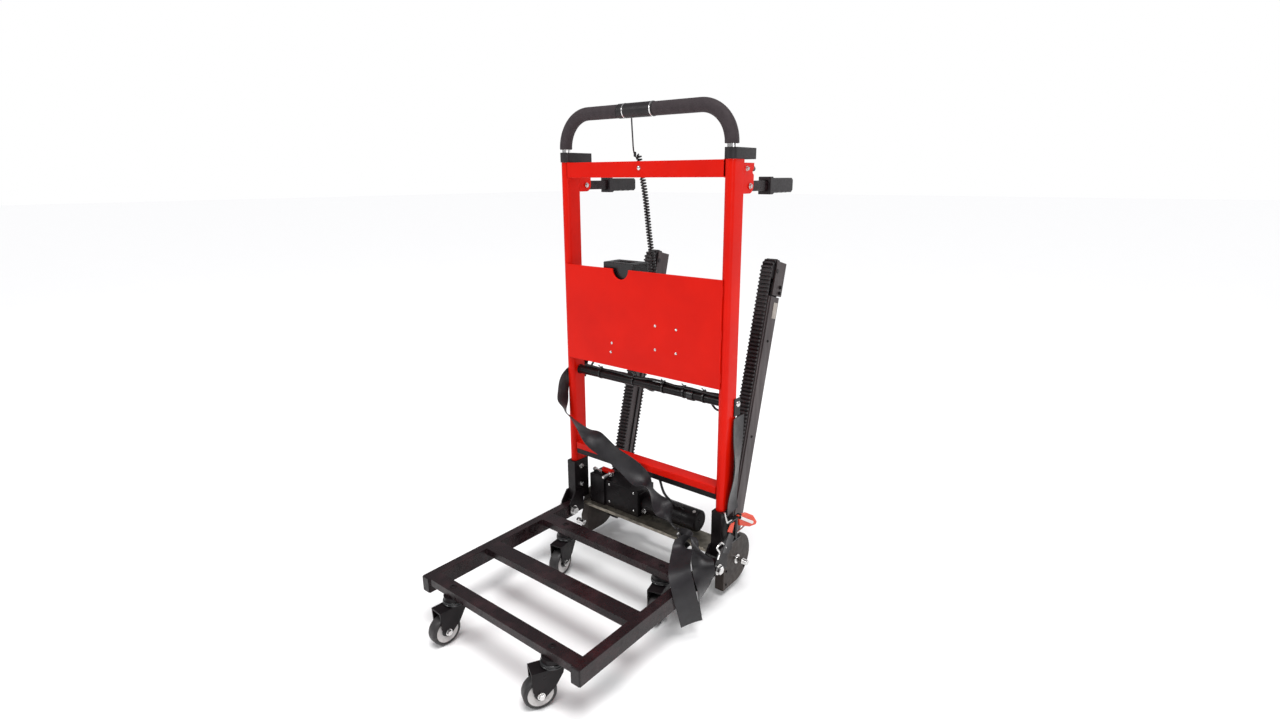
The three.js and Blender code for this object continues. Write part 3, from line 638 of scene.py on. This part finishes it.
def make_frame_fasteners():
    screws = Parts()
    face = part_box("front_panel")[0].y
    for x, z in ((59, 755), (125, 754), (59, 692), (125, 692), (-93, 662), (-89, 688)):
        place = at(x, 0, z)
        place.y = face
        screws.pan_screw(place, (0, -1, 0), 7.5 * MM, 2.2 * MM)
    screws.pan_screw(at(2, 2, 1144), (0, -1, 0), 11 * MM, 3 * MM)
    screws.build("panel_screws", STEEL, "frame")
    bolts = Parts()
    for side, sign in SIDES:
        inner = sign * 243.9
        for y, z in ((20, 275), (19, 217)):
            bolts.hex_bolt(at(inner, y, z), (-sign, 0, 0), 11 * MM, 8 * MM)
        bolts.hex_bolt(at(sign * 259, 52, 217), (0, 1, 0), 11 * MM, 7 * MM)
        for x, out in ((239.8, -1), (278.2, 1)):
            bolts.hex_bolt(at(sign * x, -22, 146), (sign * out, 0, 0), 20 * MM, 12 * MM)
    spacer = [(9, 0), (9, 6), (6, 9), (6, 18), (8.5, 20), (8.5, 26), (7, 27)]
    bolts.turned([(radius * MM, along * MM) for radius, along in spacer], at(-243.9, 0, 101), (1, 0, 0), 28)
    bolts.build("socket_bolts", STEEL, "frame")
    make_weld_beads()


def weld_bead(parts, start, end, radius):
    """A wavy bead between two points."""
    start, end = Vector(start), Vector(end)
    count = max(4, int((end - start).length / (1.3 * radius)))
    wobble = random.Random(7)
    path = [start.lerp(end, i / count) for i in range(count + 1)]
    sizes = [radius * (1 + 0.22 * math.sin(2.4 * i) + 0.1 * wobble.random()) for i in range(count + 1)]
    for a, b, size in zip(path, path[1:], sizes):
        parts.swept([a, a.lerp(b, 0.5), b], size, 8)


def make_weld_beads():
    red = Parts()
    for side, sign in SIDES:
        edge = sign * 255.6
        for z in (650, 756, 862):
            weld_bead(red, at(edge, -2.6, z - 11), at(edge, -2.6, z + 11), 1.6 * MM)
        inside = sign * 246.3
        for z in (1122, 1159.5):
            weld_bead(red, at(inside, 4, z), at(inside, 25, z), 1.5 * MM)
        for z in (338, 356.5):
            weld_bead(red, at(inside, 9, z), at(inside, 44, z), 1.5 * MM)
    red.build("weld_beads", RED, "frame")
    dark = Parts()
    for side, sign in SIDES:
        ring = [(13.2 * MM, 0), (14 * MM, 1.2 * MM), (13 * MM, 3 * MM), (12.4 * MM, 3.6 * MM)]
        dark.turned(ring, at(sign * 246.2, 32, 579), (-sign, 0, 0), 24)
    dark.build("tube_end_welds", BLACK, "frame")


def casing_outline():
    """The side view of a casing as (y, z) in metres: flat foot, round back, sloping shoulder."""
    centre, radius = (97, 114), 71
    back = arc(centre, radius, -90, 93, 40)
    shoulder = arc((57, 168), 8, 100, 150, 4)
    front = [(39, 112), (33, 100), (33, 43)]
    return [(y * MM, z * MM) for y, z in [*back, *shoulder, *front]]


def make_casings():
    for side, sign in SIDES:
        start = min(sign * 235, sign * 262)
        casing = Parts()
        casing.prism(casing_outline(), at(start, 0, 0), (0, 1, 0), (0, 0, 1), 27 * MM)
        casing.build(f"{side}_casing_shell", CASING, "frame", stands_for=[f"{side}_side_casing"],
                     bevel=2 * MM, steps=3)
        face = sign * 262
        stub = Parts()
        profile = [(13 * MM, 0), (13 * MM, 3 * MM), (8 * MM, 3.4 * MM), (8 * MM, 20 * MM),
                   (7 * MM, 20.6 * MM)]
        for i in range(7):
            profile += [(7.6 * MM, (21.4 + 2 * i) * MM), (6.9 * MM, (22.2 + 2 * i) * MM)]
        profile += [(5.5 * MM, 35 * MM), (0.2 * MM, 35 * MM)]
        stub.turned(profile, at(face, 97, 114), (sign, 0, 0), 28)
        stub.build(f"{side}_wheel_stub", STEEL, "frame")
        cover = Parts()
        for y, z in ((47, 58), (47, 98), (97, 172), (140, 70)):
            cover.pan_screw(at(face, y, z), (sign, 0, 0), 7 * MM, 2.4 * MM)
        cover.build(f"{side}_casing_screws", BLACK, "frame")


# ---------------------------------------------------------------- drive

def make_drive():
    refined("gearbox", BLACK, 2.2 * MM, 3)
    low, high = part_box("motor")
    middle = (low + high) / 2
    radius = (high.z - low.z) / 2
    length = high.x - low.x
    body = [(radius * 0.86, 0), (radius * 0.86, 8 * MM), (radius - 1 * MM, 8 * MM), (radius, 9.5 * MM)]
    cap = [(radius, length - 46 * MM), (radius - 0.8 * MM, length - 45.2 * MM),
           (radius - 0.8 * MM, length - 44.2 * MM), (radius, length - 43.4 * MM)]
    end = [(radius, length - 4 * MM), (radius - 1.2 * MM, length - 1.4 * MM),
           (radius - 4 * MM, length - 0.3 * MM), (radius - 6 * MM, length - 0.3 * MM),
           (radius - 6.8 * MM, length - 1.4 * MM), (0.5 * MM, length - 1.4 * MM)]
    motor = Parts().turned(body + cap + end, (low.x, middle.y, middle.z), (1, 0, 0), 56)
    motor.build("motor_can", BLACK, "frame", stands_for=["motor"])
    make_motor_details(middle, radius)
    axle_low, axle_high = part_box("drive_axle")
    axle_middle = (axle_low + axle_high) / 2
    axle_radius = (axle_high.z - axle_low.z) / 2
    axle = Parts()
    reach = axle_high.x - axle_low.x
    axle.turned([(axle_radius - 1 * MM, 0), (axle_radius, 1 * MM), (axle_radius, reach - 1 * MM),
                 (axle_radius - 1 * MM, reach)], (axle_low.x, axle_middle.y, axle_middle.z), (1, 0, 0), 36)
    axle.build("drive_shaft", STEEL, "drive", stands_for=["drive_axle"])
    for side, sign in SIDES:
        refined(f"{side}_sprocket", PLASTIC, 0.6 * MM)
    refined("release_lever", STEEL, 1.5 * MM, 3)
    make_lever_link()


def make_lever_link():
    """The clutch's cross pin with its red sleeve."""
    pin = Parts().swept([at(-226, 58, 258), at(-188, 54, 258)], 4.2 * MM, 16)
    pin.turned([(7 * MM, 0), (7 * MM, 5 * MM), (5 * MM, 6 * MM)], at(-222, 57.6, 258), (1, 0, 0), 20)
    pin.build("lever_cross_pin", STEEL, "frame")
    sleeve = Parts()
    sleeve.turned([(7.5 * MM, 0), (8.4 * MM, 1.2 * MM), (8.4 * MM, 37 * MM), (7.5 * MM, 38 * MM)],
                  at(-195, 66, 261), (1, 0, 0), 24)
    sleeve.build("lever_red_sleeve", RED, "frame")


def make_motor_details(middle, radius):
    fittings = Parts()
    top = middle + Vector((45 * MM, 0, radius))
    fittings.turned([(4.5 * MM, -1 * MM), (4.5 * MM, 1.6 * MM), (3 * MM, 2.6 * MM), (0.3 * MM, 2.8 * MM)],
                    top + Vector((38 * MM, -10 * MM, -1.6 * MM)), (0, -0.3, 1), 20)
    fittings.build("motor_top_screw", HUB, "frame")
    lead = Parts()
    route = [at(42, 36, 320), at(44, 40, 300), at(48, 52, 262), at(58, 66, 238), at(74, 70, 229),
             at(104, 70, 228)]
    lead.swept(smooth_path(route), 3.6 * MM, 12)
    wire = [at(74, 66, 230), at(86, 60, 229), at(96, 64, 229.5), at(112, 58, 228)]
    lead.swept(smooth_path(wire), 1.6 * MM, 8)
    lead.build("motor_lead", CABLE, "frame")
    plates = Parts()
    for x, z in ((-150, 176), (-150, 232), (-56, 176), (-56, 232)):
        plates.pan_screw(at(x, 42, z), (0, -1, 0), 7 * MM, 2.6 * MM)
    plates.hex_bolt(at(-22, 50, 184), (0, -1, 0.2), 10 * MM, 7 * MM)
    plates.build("gearbox_screws", STEEL, "frame")
    flange = Parts()
    flange.box(at(-43.6, 46, 162), at(-38.6, 113, 231))
    flange.build("motor_flange", BLACK, "frame", bevel=1.2 * MM)


# ---------------------------------------------------------------- tracks

def stadium_frame(distance, radius, length):
    """Place and outward normal at a distance round a belt loop, both as (y, z) in track space."""
    half_turn = math.pi * radius
    loop = 2 * length + 2 * half_turn
    s = distance % loop
    if s < length:
        return (-radius, s), (-1, 0)
    if s < length + half_turn:
        angle = math.pi - (s - length) / radius
        y, z = math.cos(angle), math.sin(angle)
        return (radius * y, length + radius * z), (y, z)
    if s < 2 * length + half_turn:
        return (radius, 2 * length + half_turn - s), (1, 0)
    angle = -(s - 2 * length - half_turn) / radius
    return (radius * math.cos(angle), radius * math.sin(angle)), (math.cos(angle), math.sin(angle))


def track_space(sign):
    """The transform from a track's own space, upright and about its drive axle, to the row frame."""
    lean = math.radians(14.47)
    return Matrix.Translation(at(sign * 203, 132, 104)) @ Matrix.Rotation(-lean, 4, "X")


def ribbed_belt(sign, length=793 * MM, inner=24.3 * MM, band=26.2 * MM, outer=32.8 * MM, half=16.3 * MM):
    """A toothed rubber belt: a band with cross ribs, each a little narrower at its top."""
    space = track_space(sign)
    middle = (inner + band) / 2
    loop = 2 * length + 2 * math.pi * middle
    ribs = round(loop / (10.6 * MM))
    rib_profile = ((0.0, 0), (0.30, 0), (0.36, 1), (0.76, 1), (0.84, 0))
    points, faces = [], []
    rings = ribs * len(rib_profile)
    for r in range(ribs):
        for share, raised in rib_profile:
            (y, z), (ny, nz) = stadium_frame(loop * (r + share) / ribs, middle, length)
            top = outer if raised else band
            edge = half - (0.8 * MM if raised else 0)
            section = ((-half, inner), (half, inner), (half, band), (edge, top), (-edge, top), (-half, band))
            for x, level in section:
                reach = level - middle
                points.append(space @ Vector((x, y + ny * reach, z + nz * reach)))
    for ring in range(rings):
        a, b = ring * 6, ((ring + 1) % rings) * 6
        for k in range(6):
            n = (k + 1) % 6
            faces.append((a + k, b + k, b + n, a + n))
    return Parts().add(points, faces)


def make_tracks():
    for side, sign in SIDES:
        belt = ribbed_belt(sign)
        belt.build(f"{side}_ribbed_belt", BELT, f"{side}_track", stands_for=[f"{side}_belt"])
        refined(f"{side}_track_beam", WARM_GREY, 1.2 * MM)
        refined(f"{side}_tensioner", WARM_GREY, 1.0 * MM)
        refined(f"{side}_idler", PLASTIC, 0.6 * MM)
        make_track_details(side, sign)


def make_track_details(side, sign):
    space = track_space(sign)
    local = lambda x, y, z: space @ Vector((sign * x * MM, y * MM, z * MM))
    axis = lambda x, y, z: (space.to_3x3() @ Vector((sign * x, y, z)))
    bolts = Parts()
    for z in (736, 752):
        for x, out in ((21, 1), (-21, -1)):
            bolts.hex_bolt(local(x, 30, z), axis(out, 0, 0), 8 * MM, 5 * MM)
    for z in (60, 330, 600):
        bolts.pan_screw(local(21, 10, z), axis(1, 0, 0), 8 * MM, 2.6 * MM)
    bolts.build(f"{side}_track_bolts", BLACK, f"{side}_track")
    plate = Parts()
    corner = local(21.2, 8, 664)
    outline = [(0, 0), (22 * MM, 0), (22 * MM, 44 * MM), (0, 44 * MM)]
    plate.prism(outline, corner, axis(0, 1, 0), axis(0, 0, 1), sign * 0.6 * MM)
    plate.build(f"{side}_blank_plate", LABEL, f"{side}_track")
    cable = Parts()
    run = [local(-15.5, 4, 180), local(-16, 4, 300), local(-16, 5, 430), local(-15.5, 4, 560)]
    cable.swept(smooth_path(run), 2.6 * MM, 10)
    cable.build(f"{side}_track_cable", CABLE, f"{side}_track")


# ---------------------------------------------------------------- handle

def bow_path(y, half_width, bar_height, bend, leg_bottom, left, right):
    """The handle's centreline from one end to the other, clipped to left..right on the bar."""
    corner_left = [(-half_width + bend - bend * math.cos(a), bar_height - bend + bend * math.sin(a))
                   for a in spread(0, math.pi / 2, 20)]
    corner_right = [(-x, z) for x, z in reversed(corner_left)]
    line = []
    if left is None:
        line += [(-half_width, leg_bottom), *corner_left]
    else:
        line += [(left, bar_height)]
    if right is None:
        line += [*corner_right, (half_width, leg_bottom)]
    else:
        line += [(right, bar_height)]
    return [at(x, y, z) for x, z in line]


def make_handle():
    y, half_width, bar, bend = 14, 259, 1280, 84
    tube = Parts().swept(bow_path(y, half_width, bar, bend, 782, None, None), 10.5 * MM, 28)
    tube.build("bow_tube", STEEL, "handle", stands_for=["handle_tube"])
    left = Parts().swept(bow_path(y, half_width, bar, bend, 1194, None, -70), 16.4 * MM, 40)
    left.build("left_foam_sleeve", FOAM, "handle", stands_for=["left_foam_grip"], bevel=3 * MM, steps=4)
    right = Parts().swept(bow_path(y, half_width, bar, bend, 1194, 43, None), 16.4 * MM, 40)
    right.build("right_foam_sleeve", FOAM, "handle", stands_for=["right_foam_grip"], bevel=3 * MM, steps=4)
    housing = Parts()
    edge = 17.5 * MM
    profile = [(edge - 2 * MM, 0), (edge, 1.5 * MM), (edge, 111.5 * MM), (edge - 2 * MM, 113 * MM)]
    housing.turned(profile, at(-70, y, bar), (1, 0, 0), 44)
    housing.box(at(-44, y, bar - 13), at(16, y + 24, bar - 9))
    housing.box(at(-44, y, bar + 9), at(16, y + 24, bar + 13))
    housing.box(at(-44, y, bar - 9), at(-34, y + 24, bar + 9))
    housing.box(at(6, y, bar - 9), at(16, y + 24, bar + 9))
    housing.build("switch_body", PLASTIC, "handle", stands_for=["switch_housing"], bevel=1.2 * MM, steps=3)
    rings = Parts()
    for x in (-50, 36):
        ring = [(17.6 * MM, 0), (18.1 * MM, 0.4 * MM), (18.1 * MM, 2.6 * MM), (17.6 * MM, 3 * MM)]
        rings.turned(ring, at(x, y, bar), (1, 0, 0), 44)
    rings.build("switch_clamp_rings", STEEL, "handle")
    refined("rocker_switch", GLOSS_BLACK, 1.4 * MM, 3)


# ---------------------------------------------------------------- battery and control box

def make_boxes():
    refined("battery_pack", GLOSS_BLACK, 3.2 * MM, 3)
    refined("control_box", BLACK, 2.2 * MM, 3)
    trim = Parts()
    low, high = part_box("battery_pack")
    for z in (low.z + 0.24 * (high.z - low.z), low.z + 0.86 * (high.z - low.z)):
        trim.box((low.x - 0.8 * MM, low.y + 4 * MM, z), (high.x + 0.8 * MM, high.y + 0.8 * MM, z + 3 * MM))
    trim.build("battery_ribs", PLASTIC, "battery", bevel=0.8 * MM)
    low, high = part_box("control_box")
    screws = Parts()
    for x in (low.x + 10 * MM, high.x - 10 * MM):
        for z in (low.z + 10 * MM, high.z - 10 * MM):
            screws.pan_screw((x, high.y, z), (0, 1, 0), 7 * MM, 2.4 * MM)
    screws.build("control_box_screws", STEEL, "frame")
    lid = Parts()
    lip = 1.5 * MM
    lid.box((low.x - lip, high.y - 16 * MM, low.z - lip), (high.x + lip, high.y - 13 * MM, high.z + lip))
    lid.build("control_box_rim", BLACK, "frame", bevel=0.8 * MM)


# ---------------------------------------------------------------- rear grips

def make_grips():
    for side, sign in SIDES:
        refined(f"{side}_grip_bracket", RED, 0.7 * MM)
        refined(f"{side}_grip_arm", BROWN_BLACK, 1.6 * MM, 3)
        refined(f"{side}_grip_sleeve", PLASTIC, 3.2 * MM, 4)
        refined(f"{side}_lock_plunger", GLOSS_BLACK, 1.0 * MM, 3)
        bolts = Parts()
        for out in (-1, 1):
            face = sign * 259 + out * 14.4
            bolts.hex_bolt(at(face, 76, 1101), (out, 0, 0), 9 * MM, 5 * MM)
            face = sign * 259 + out * 12.5
            bolts.hex_bolt(at(face, 62, 1140), (out, 0, 0), 8 * MM, 5 * MM)
        bolts.build(f"{side}_grip_bolts", STEEL, "frame")


# ---------------------------------------------------------------- platform and casters

def make_platform():
    refined("platform_frame", BROWN_BLACK, 2.4 * MM, 3)
    low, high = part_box("platform_frame")
    caps = Parts()
    for side, sign in SIDES:
        inner, outer = sorted((sign * 246 * MM, sign * 270 * MM))
        caps.box((inner, low.y - 2.5 * MM, low.z + 1 * MM), (outer, low.y + 1 * MM, high.z - 1 * MM))
    caps.build("rail_end_caps", PLASTIC, "platform", bevel=1.2 * MM, steps=3)
    bolts = Parts()
    for x in (-172, 172):
        for y in (-508, -122.5):
            bolts.turned([(9 * MM, -1 * MM), (9 * MM, 0.5 * MM), (7.5 * MM, 1.4 * MM), (3.4 * MM, 1.6 * MM),
                          (3.2 * MM, -0.4 * MM), (0.3 * MM, -0.4 * MM)], at(x, y, 164), (0, 0, 1), 28)
    bolts.build("caster_bolts", BLACK, "platform")
    welds = Parts()
    for y0, y1 in ((-525, -491), (-347, -301), (-145, -100)):
        for side, sign in SIDES:
            weld_bead(welds, at(sign * 245.2, y0 + 3, 145), at(sign * 245.2, y0 + 3, 162), 1.5 * MM)
            weld_bead(welds, at(sign * 245.2, y1 - 3, 145), at(sign * 245.2, y1 - 3, 162), 1.5 * MM)
    welds.build("platform_welds", BROWN_BLACK, "platform")


def caster_frame(name):
    """A caster wheel's centre and axis, from its solid: the axis is level and square to the trail."""
    wheel_low, wheel_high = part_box(f"{name}_caster_wheel")
    hub = (wheel_low + wheel_high) / 2
    joint = next(j for j in frame["joints"] if j["name"] == f"{name}_spin")
    return hub, Vector(joint["axis"]).normalized()


def both_sides(profile, half):
    """A wheel's profile across both faces, from (radius, depth below the face) pairs in millimetres."""
    near = [(radius * MM, depth * MM - half) for radius, depth in profile]
    return near + [(radius, -along) for radius, along in reversed(near)]


def make_casters():
    half = 15 * MM
    for name in CASTERS:
        refined(f"{name}_caster_fork", BLACK, 1.2 * MM, 3)
        hub, axis = caster_frame(name)
        side_of_tyre = [(28, 1.6), (31, 0.2), (34, 0.5), (36.6, 3), (37.5, 7)]
        tyre = Parts()
        tyre_profile = [*both_sides(side_of_tyre, half), (27 * MM, 0), (28 * MM, 1.6 * MM - half)]
        tyre.turned(tyre_profile, hub, axis, 64)
        tyre.build(f"{name}_tyre", TYRE, f"{name}_wheel", stands_for=[f"{name}_caster_wheel"])
        side_of_ring = [(13.5, 3.2), (15, 2.2), (26.5, 2.2), (28.6, 1.0)]
        ring = Parts()
        ring.turned([*both_sides(side_of_ring, half), (13.5 * MM, 3.2 * MM - half)], hub, axis, 48)
        ring.build(f"{name}_wheel_ring", HUB, f"{name}_wheel", slot="caster_tyre")
        side_of_bush = [(4.4, -1.2), (8, -1.2), (9, 2), (13.8, 3)]
        bush = Parts()
        bush.turned([*both_sides(side_of_bush, half), (4.4 * MM, -half - 1.2 * MM)], hub, axis, 40)
        bush.build(f"{name}_wheel_bush", GLOSS_BLACK, f"{name}_wheel")
        bolts = Parts()
        for out in (-1, 1):
            bolts.hex_bolt(hub + axis * out * 19.6 * MM, axis * out, 12 * MM, 7 * MM)
        bolts.build(f"{name}_axle_bolt", STEEL, f"{name}_fork")
        make_swivel(name)


def make_swivel(name):
    """The bearing races that shine between a caster's fork and its mounting."""
    joint = next(j for j in frame["joints"] if j["name"] == f"{name}_swivel")
    place = Vector((joint["pos_m"][0], joint["pos_m"][1], at(0, 0, 122.5).z))
    race = Parts()
    race.turned([(25.2 * MM, 0), (27.2 * MM, 0.8 * MM), (27.8 * MM, 3.2 * MM), (26.4 * MM, 4.6 * MM),
                 (26.4 * MM, 5.8 * MM), (27.4 * MM, 7 * MM), (26.8 * MM, 9.4 * MM), (25.2 * MM, 10.4 * MM)],
                place, (0, 0, 1), 48)
    race.build(f"{name}_swivel_race", GLOSS_BLACK, f"{name}_fork")


# ---------------------------------------------------------------- cables on the cross tube

def make_wires():
    loom = Parts()
    top = 579 + 12.5
    run = [at(x, 30 + 4 * math.sin(x / 37), top + 3 + 1.6 * math.sin(x / 21)) for x in range(-225, 236, 20)]
    loom.swept(smooth_path(run, 4), 3.3 * MM, 12)
    second = [at(x, 38 + 2 * math.sin(x / 29 + 1), top + 1.6 + 1.4 * math.sin(x / 17))
              for x in range(-120, 241, 20)]
    loom.swept(smooth_path(second, 4), 2.6 * MM, 10)
    loop = [at(20, 46, 585), at(12, 58, 568), at(-8, 74, 548), at(-44, 88, 546), at(-84, 104, 560),
            at(-120, 118, 590)]
    loom.swept(smooth_path(loop), 2.8 * MM, 10)
    tail = [at(176, 46, 578), at(188, 60, 562), at(196, 74, 540), at(206, 84, 532)]
    loom.swept(smooth_path(tail), 3.0 * MM, 10)
    lead = [at(-205, 34, 594), at(-196, 36, 610), at(-192, 40, 626), at(-190, 42, 648)]
    loom.swept(smooth_path(lead), 3.0 * MM, 10)
    loom.build("cable_loom", CABLE, "frame")
    ties = Parts()
    for x in (-161, -39, 62, 129, 191):
        ring = [(14.6 * MM, -2.2 * MM), (15.6 * MM, -2.2 * MM), (15.6 * MM, 2.2 * MM), (14.6 * MM, 2.2 * MM),
                (14.6 * MM, -2.2 * MM)]
        ties.turned(ring, at(x, 32, 581), (1, 0, 0), 28)
        ties.box(at(x - 2.6, 26, 594), at(x + 2.6, 34, 601))
        ties.swept([at(x, 28, 599), at(x - 2, 24, 604), at(x - 4, 22, 607)], 1.5 * MM, 6)
    clamp = [(radius * MM, along * MM) for radius, along in ((13, -9), (15, -9), (15, 9), (13, 9), (13, -9))]
    ties.turned(clamp, at(151, 32, 579), (1, 0, 0), 32)
    ties.build("cable_ties", GLOSS_BLACK, "frame")


# ---------------------------------------------------------------- strap

def strap_sheet(stations, width, thickness, cup=0.06, steps=7):
    """Webbing through stations of (point, direction across), as a closed thin sheet."""
    centre = smooth_path([s[0] for s in stations], steps)
    across = smooth_path([Vector(s[1]).normalized() for s in stations], steps)
    columns = 9
    rows = []
    for i, point in enumerate(centre):
        ahead = (centre[min(i + 1, len(centre) - 1)] - centre[max(i - 1, 0)]).normalized()
        side = (across[i] - ahead * across[i].dot(ahead)).normalized()
        normal = ahead.cross(side).normalized()
        rows.append((point, side, normal))
    points, faces = [], []
    for level in (-0.5, 0.5):
        for point, side, normal in rows:
            for k in range(columns):
                share = 2 * k / (columns - 1) - 1
                bend = cup * width * (share * share - 0.4)
                points.append(point + side * share * width / 2 + normal * (bend + level * thickness))
    count = len(rows)
    layer = count * columns
    for i in range(count - 1):
        for k in range(columns - 1):
            a = i * columns + k
            faces.append((a, a + 1, a + columns + 1, a + columns))
            b = a + layer
            faces.append((b, b + columns, b + columns + 1, b + 1))
    rim = [k for k in range(columns)] + [i * columns + columns - 1 for i in range(1, count)]
    rim += [(count - 1) * columns + k for k in range(columns - 2, -1, -1)]
    rim += [i * columns for i in range(count - 2, 0, -1)]
    for i, a in enumerate(rim):
        b = rim[(i + 1) % len(rim)]
        faces.append((a, b, b + layer, a + layer))
    return Parts().add(points, faces)


STRAP_WIDTH = 56 * MM
STRAP_THICKNESS = 1.6 * MM
EDGE_ON = Vector((-0.68, 0.66, -0.31))
FACE_ON = Vector((0.12, 0.1, 1))
TO_THE_RIGHT = Vector((0.78, 0.63, 0))


def turned_across(share):
    """The direction across the front strap: 1 shows its face to the front right, 0 its edge."""
    return FACE_ON * share + EDGE_ON * math.sqrt(1 - share * share)


def make_straps():
    make_front_strap()
    make_strap_tail()
    make_side_strap()
    make_buckle()


def make_front_strap():
    """The webbing that comes round the left upright and slants down to the buckle."""
    round_upright = TO_THE_RIGHT * 0.5 + EDGE_ON * 0.86
    loop = [
        (at(-246, 60, 576), (0, 0.1, 1)), (at(-262, 57, 578), (0.2, 0.3, 1)),
        (at(-275, 44, 574), (0.4, 0.6, 0.6)), (at(-280, 20, 564), round_upright),
        (at(-279, -2, 546), round_upright), (at(-275, -15, 520), round_upright),
        (at(-270, -22, 490), round_upright), (at(-256, -27, 462), EDGE_ON),
    ]
    crossing = [(-238, 448, 0.05), (-212, 432, 0.22), (-181, 415, 0.42), (-150, 402, 0.7), (-119, 390, 0.93),
                (-67, 369, 1), (-16, 350, 0.95), (26, 326, 0.72), (54, 309, 0.32), (81, 282, 0.6),
                (104, 260, 0.8), (120, 241, 0.5), (132, 226, 0.06), (148, 217, 0.02)]
    stations = loop + [(at(x, -25, z), turned_across(share)) for x, z, share in crossing]
    sheet = strap_sheet(stations, STRAP_WIDTH, STRAP_THICKNESS, 0.05)
    sheet.build("strap_front_webbing", WEBBING, "frame", stands_for=["strap_front"])


def make_strap_tail():
    """The loose end: two folds that hang over the platform's rail."""
    facing = Vector((0.63, 0.66, 0.41))
    leaning = facing * 0.4 + EDGE_ON * 0.92
    outer = [
        (at(172, -32, 208), EDGE_ON), (at(194, -52, 214), EDGE_ON), (at(214, -86, 218), leaning),
        (at(240, -134, 220), facing * 0.85 + EDGE_ON * 0.5), (at(266, -176, 212), facing),
        (at(287, -190, 178), facing), (at(291, -180, 136), facing), (at(290, -167, 98), facing),
        (at(288, -154, 66), facing),
    ]
    inner = [
        (at(176, -29, 208), EDGE_ON), (at(212, -44, 214), EDGE_ON), (at(250, -70, 206), leaning),
        (at(277, -90, 184), facing), (at(283, -98, 144), facing * 0.8 + EDGE_ON * 0.6),
        (at(283, -108, 108), leaning), (at(282, -113, 80), EDGE_ON),
    ]
    tail = strap_sheet(outer, STRAP_WIDTH, STRAP_THICKNESS, 0.04)
    fold = strap_sheet(inner, STRAP_WIDTH, STRAP_THICKNESS, 0.04)
    tail.add(fold.points, fold.faces)
    piece = tail.build("strap_tail_webbing", WEBBING, None, stands_for=["strap_tail"])
    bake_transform(piece)


def make_side_strap():
    side = [
        (at(275.6, 58, 540), (-0.08, 1, 0)), (at(276, 57, 510), (-0.08, 1, 0)),
        (at(278, 54, 470), (-0.15, 1, 0)), (at(281, 50, 430), (-0.3, 1, 0)),
        (at(281, 48, 402), (-0.35, 1, 0)), (at(280, 44, 371), (-0.3, 1, 0)),
        (at(279, 38, 340), (-0.2, 1, -0.1)), (at(279, 34, 312), (-0.12, 1, -0.2)),
        (at(280, 36, 286), (0, 1, -0.3)),
    ]
    sheet = strap_sheet(side, STRAP_WIDTH, STRAP_THICKNESS, 0.03)
    sheet.build("strap_side_webbing", WEBBING, "frame", stands_for=["strap_side"])
    fold = [
        (at(294, 12, 236), (0, 0.95, -0.3)), (at(294, 4, 226), (0, 0.93, -0.36)),
        (at(294, -6, 214), (0, 0.9, -0.43)), (at(294, -16, 196), (0, 0.9, -0.43)),
    ]
    band = strap_sheet(fold, STRAP_WIDTH * 0.6, STRAP_THICKNESS, 0.04)
    band.build("strap_fold_webbing", WEBBING, "frame", stands_for=["strap_fold"])


def make_buckle():
    buckle = Parts()
    for lift in (0, 8):
        buckle.swept([at(158 + lift, -36, 210 - lift), at(167 + lift, -38, 222 - lift)], 2.1 * MM, 10)
    buckle.swept([at(158, -36, 210), at(166, -36, 202)], 1.7 * MM, 10)
    buckle.swept([at(167, -38, 222), at(175, -38, 214)], 1.7 * MM, 10)
    buckle.build("strap_buckle", STEEL, "frame")


def make_ratchet():
    refined("ratchet_frame", GLOSS_BLACK, 0.8 * MM)
    handle = Parts()
    blade = [(50, 272), (95, 262), (130, 240), (152, 212), (146, 206), (112, 214), (60, 240)]
    handle.prism(blade, at(283, 0, 0), (0, MM, 0), (0, 0, MM), 8 * MM)
    handle.build("ratchet_lever_blade", ORANGE, "ratchet", stands_for=["ratchet_handle"],
                 bevel=1.4 * MM, steps=3)
    roller = Parts().swept([at(294, 52, 268), at(294, 118, 226)], 4.5 * MM, 18)
    roller.build("ratchet_roller", STEEL, "ratchet")
    plate = Parts()
    plate.box(at(272.3, 38, 544), at(275, 66, 590))
    plate.build("strap_anchor_plate", BLACK, "frame", bevel=1.0 * MM)
    rivet = Parts()
    dome = [(8 * MM, 0), (7.4 * MM, 2.4 * MM), (5 * MM, 4.4 * MM), (0.3 * MM, 5.2 * MM)]
    rivet.turned(dome, at(275, 53, 575), (1, 0, 0), 24)
    for route in ([(-13, 306), (1, 272), (43, 265)], [(92, 224), (43, 220)]):
        rivet.swept([at(286.4, y, z) for y, z in route], 2.4 * MM, 8)
    rivet.build("strap_rivet_and_strips", STEEL, "frame")
    hook = Parts()
    route = [(-10, 208), (-24, 226), (-37, 233), (-53, 226), (-41, 209), (-49, 193)]
    hook.swept(smooth_path([at(292, y, z) for y, z in route], 5), 2.6 * MM, 10)
    hook.build("strap_hook", STEEL, "frame")
    tab = Parts()
    tab.prism([(2, 246), (16, 264), (36, 260), (25, 233)], at(287, 0, 0), (0, MM, 0), (0, 0, MM), 2 * MM)
    tab.build("ratchet_tab", ORANGE, "frame", bevel=0.8 * MM)


make_control_cord()
make_frame()
make_frame_fasteners()
make_casings()
make_drive()
make_tracks()
make_handle()
make_boxes()
make_grips()
make_platform()
make_casters()
make_wires()
make_straps()
make_ratchet()
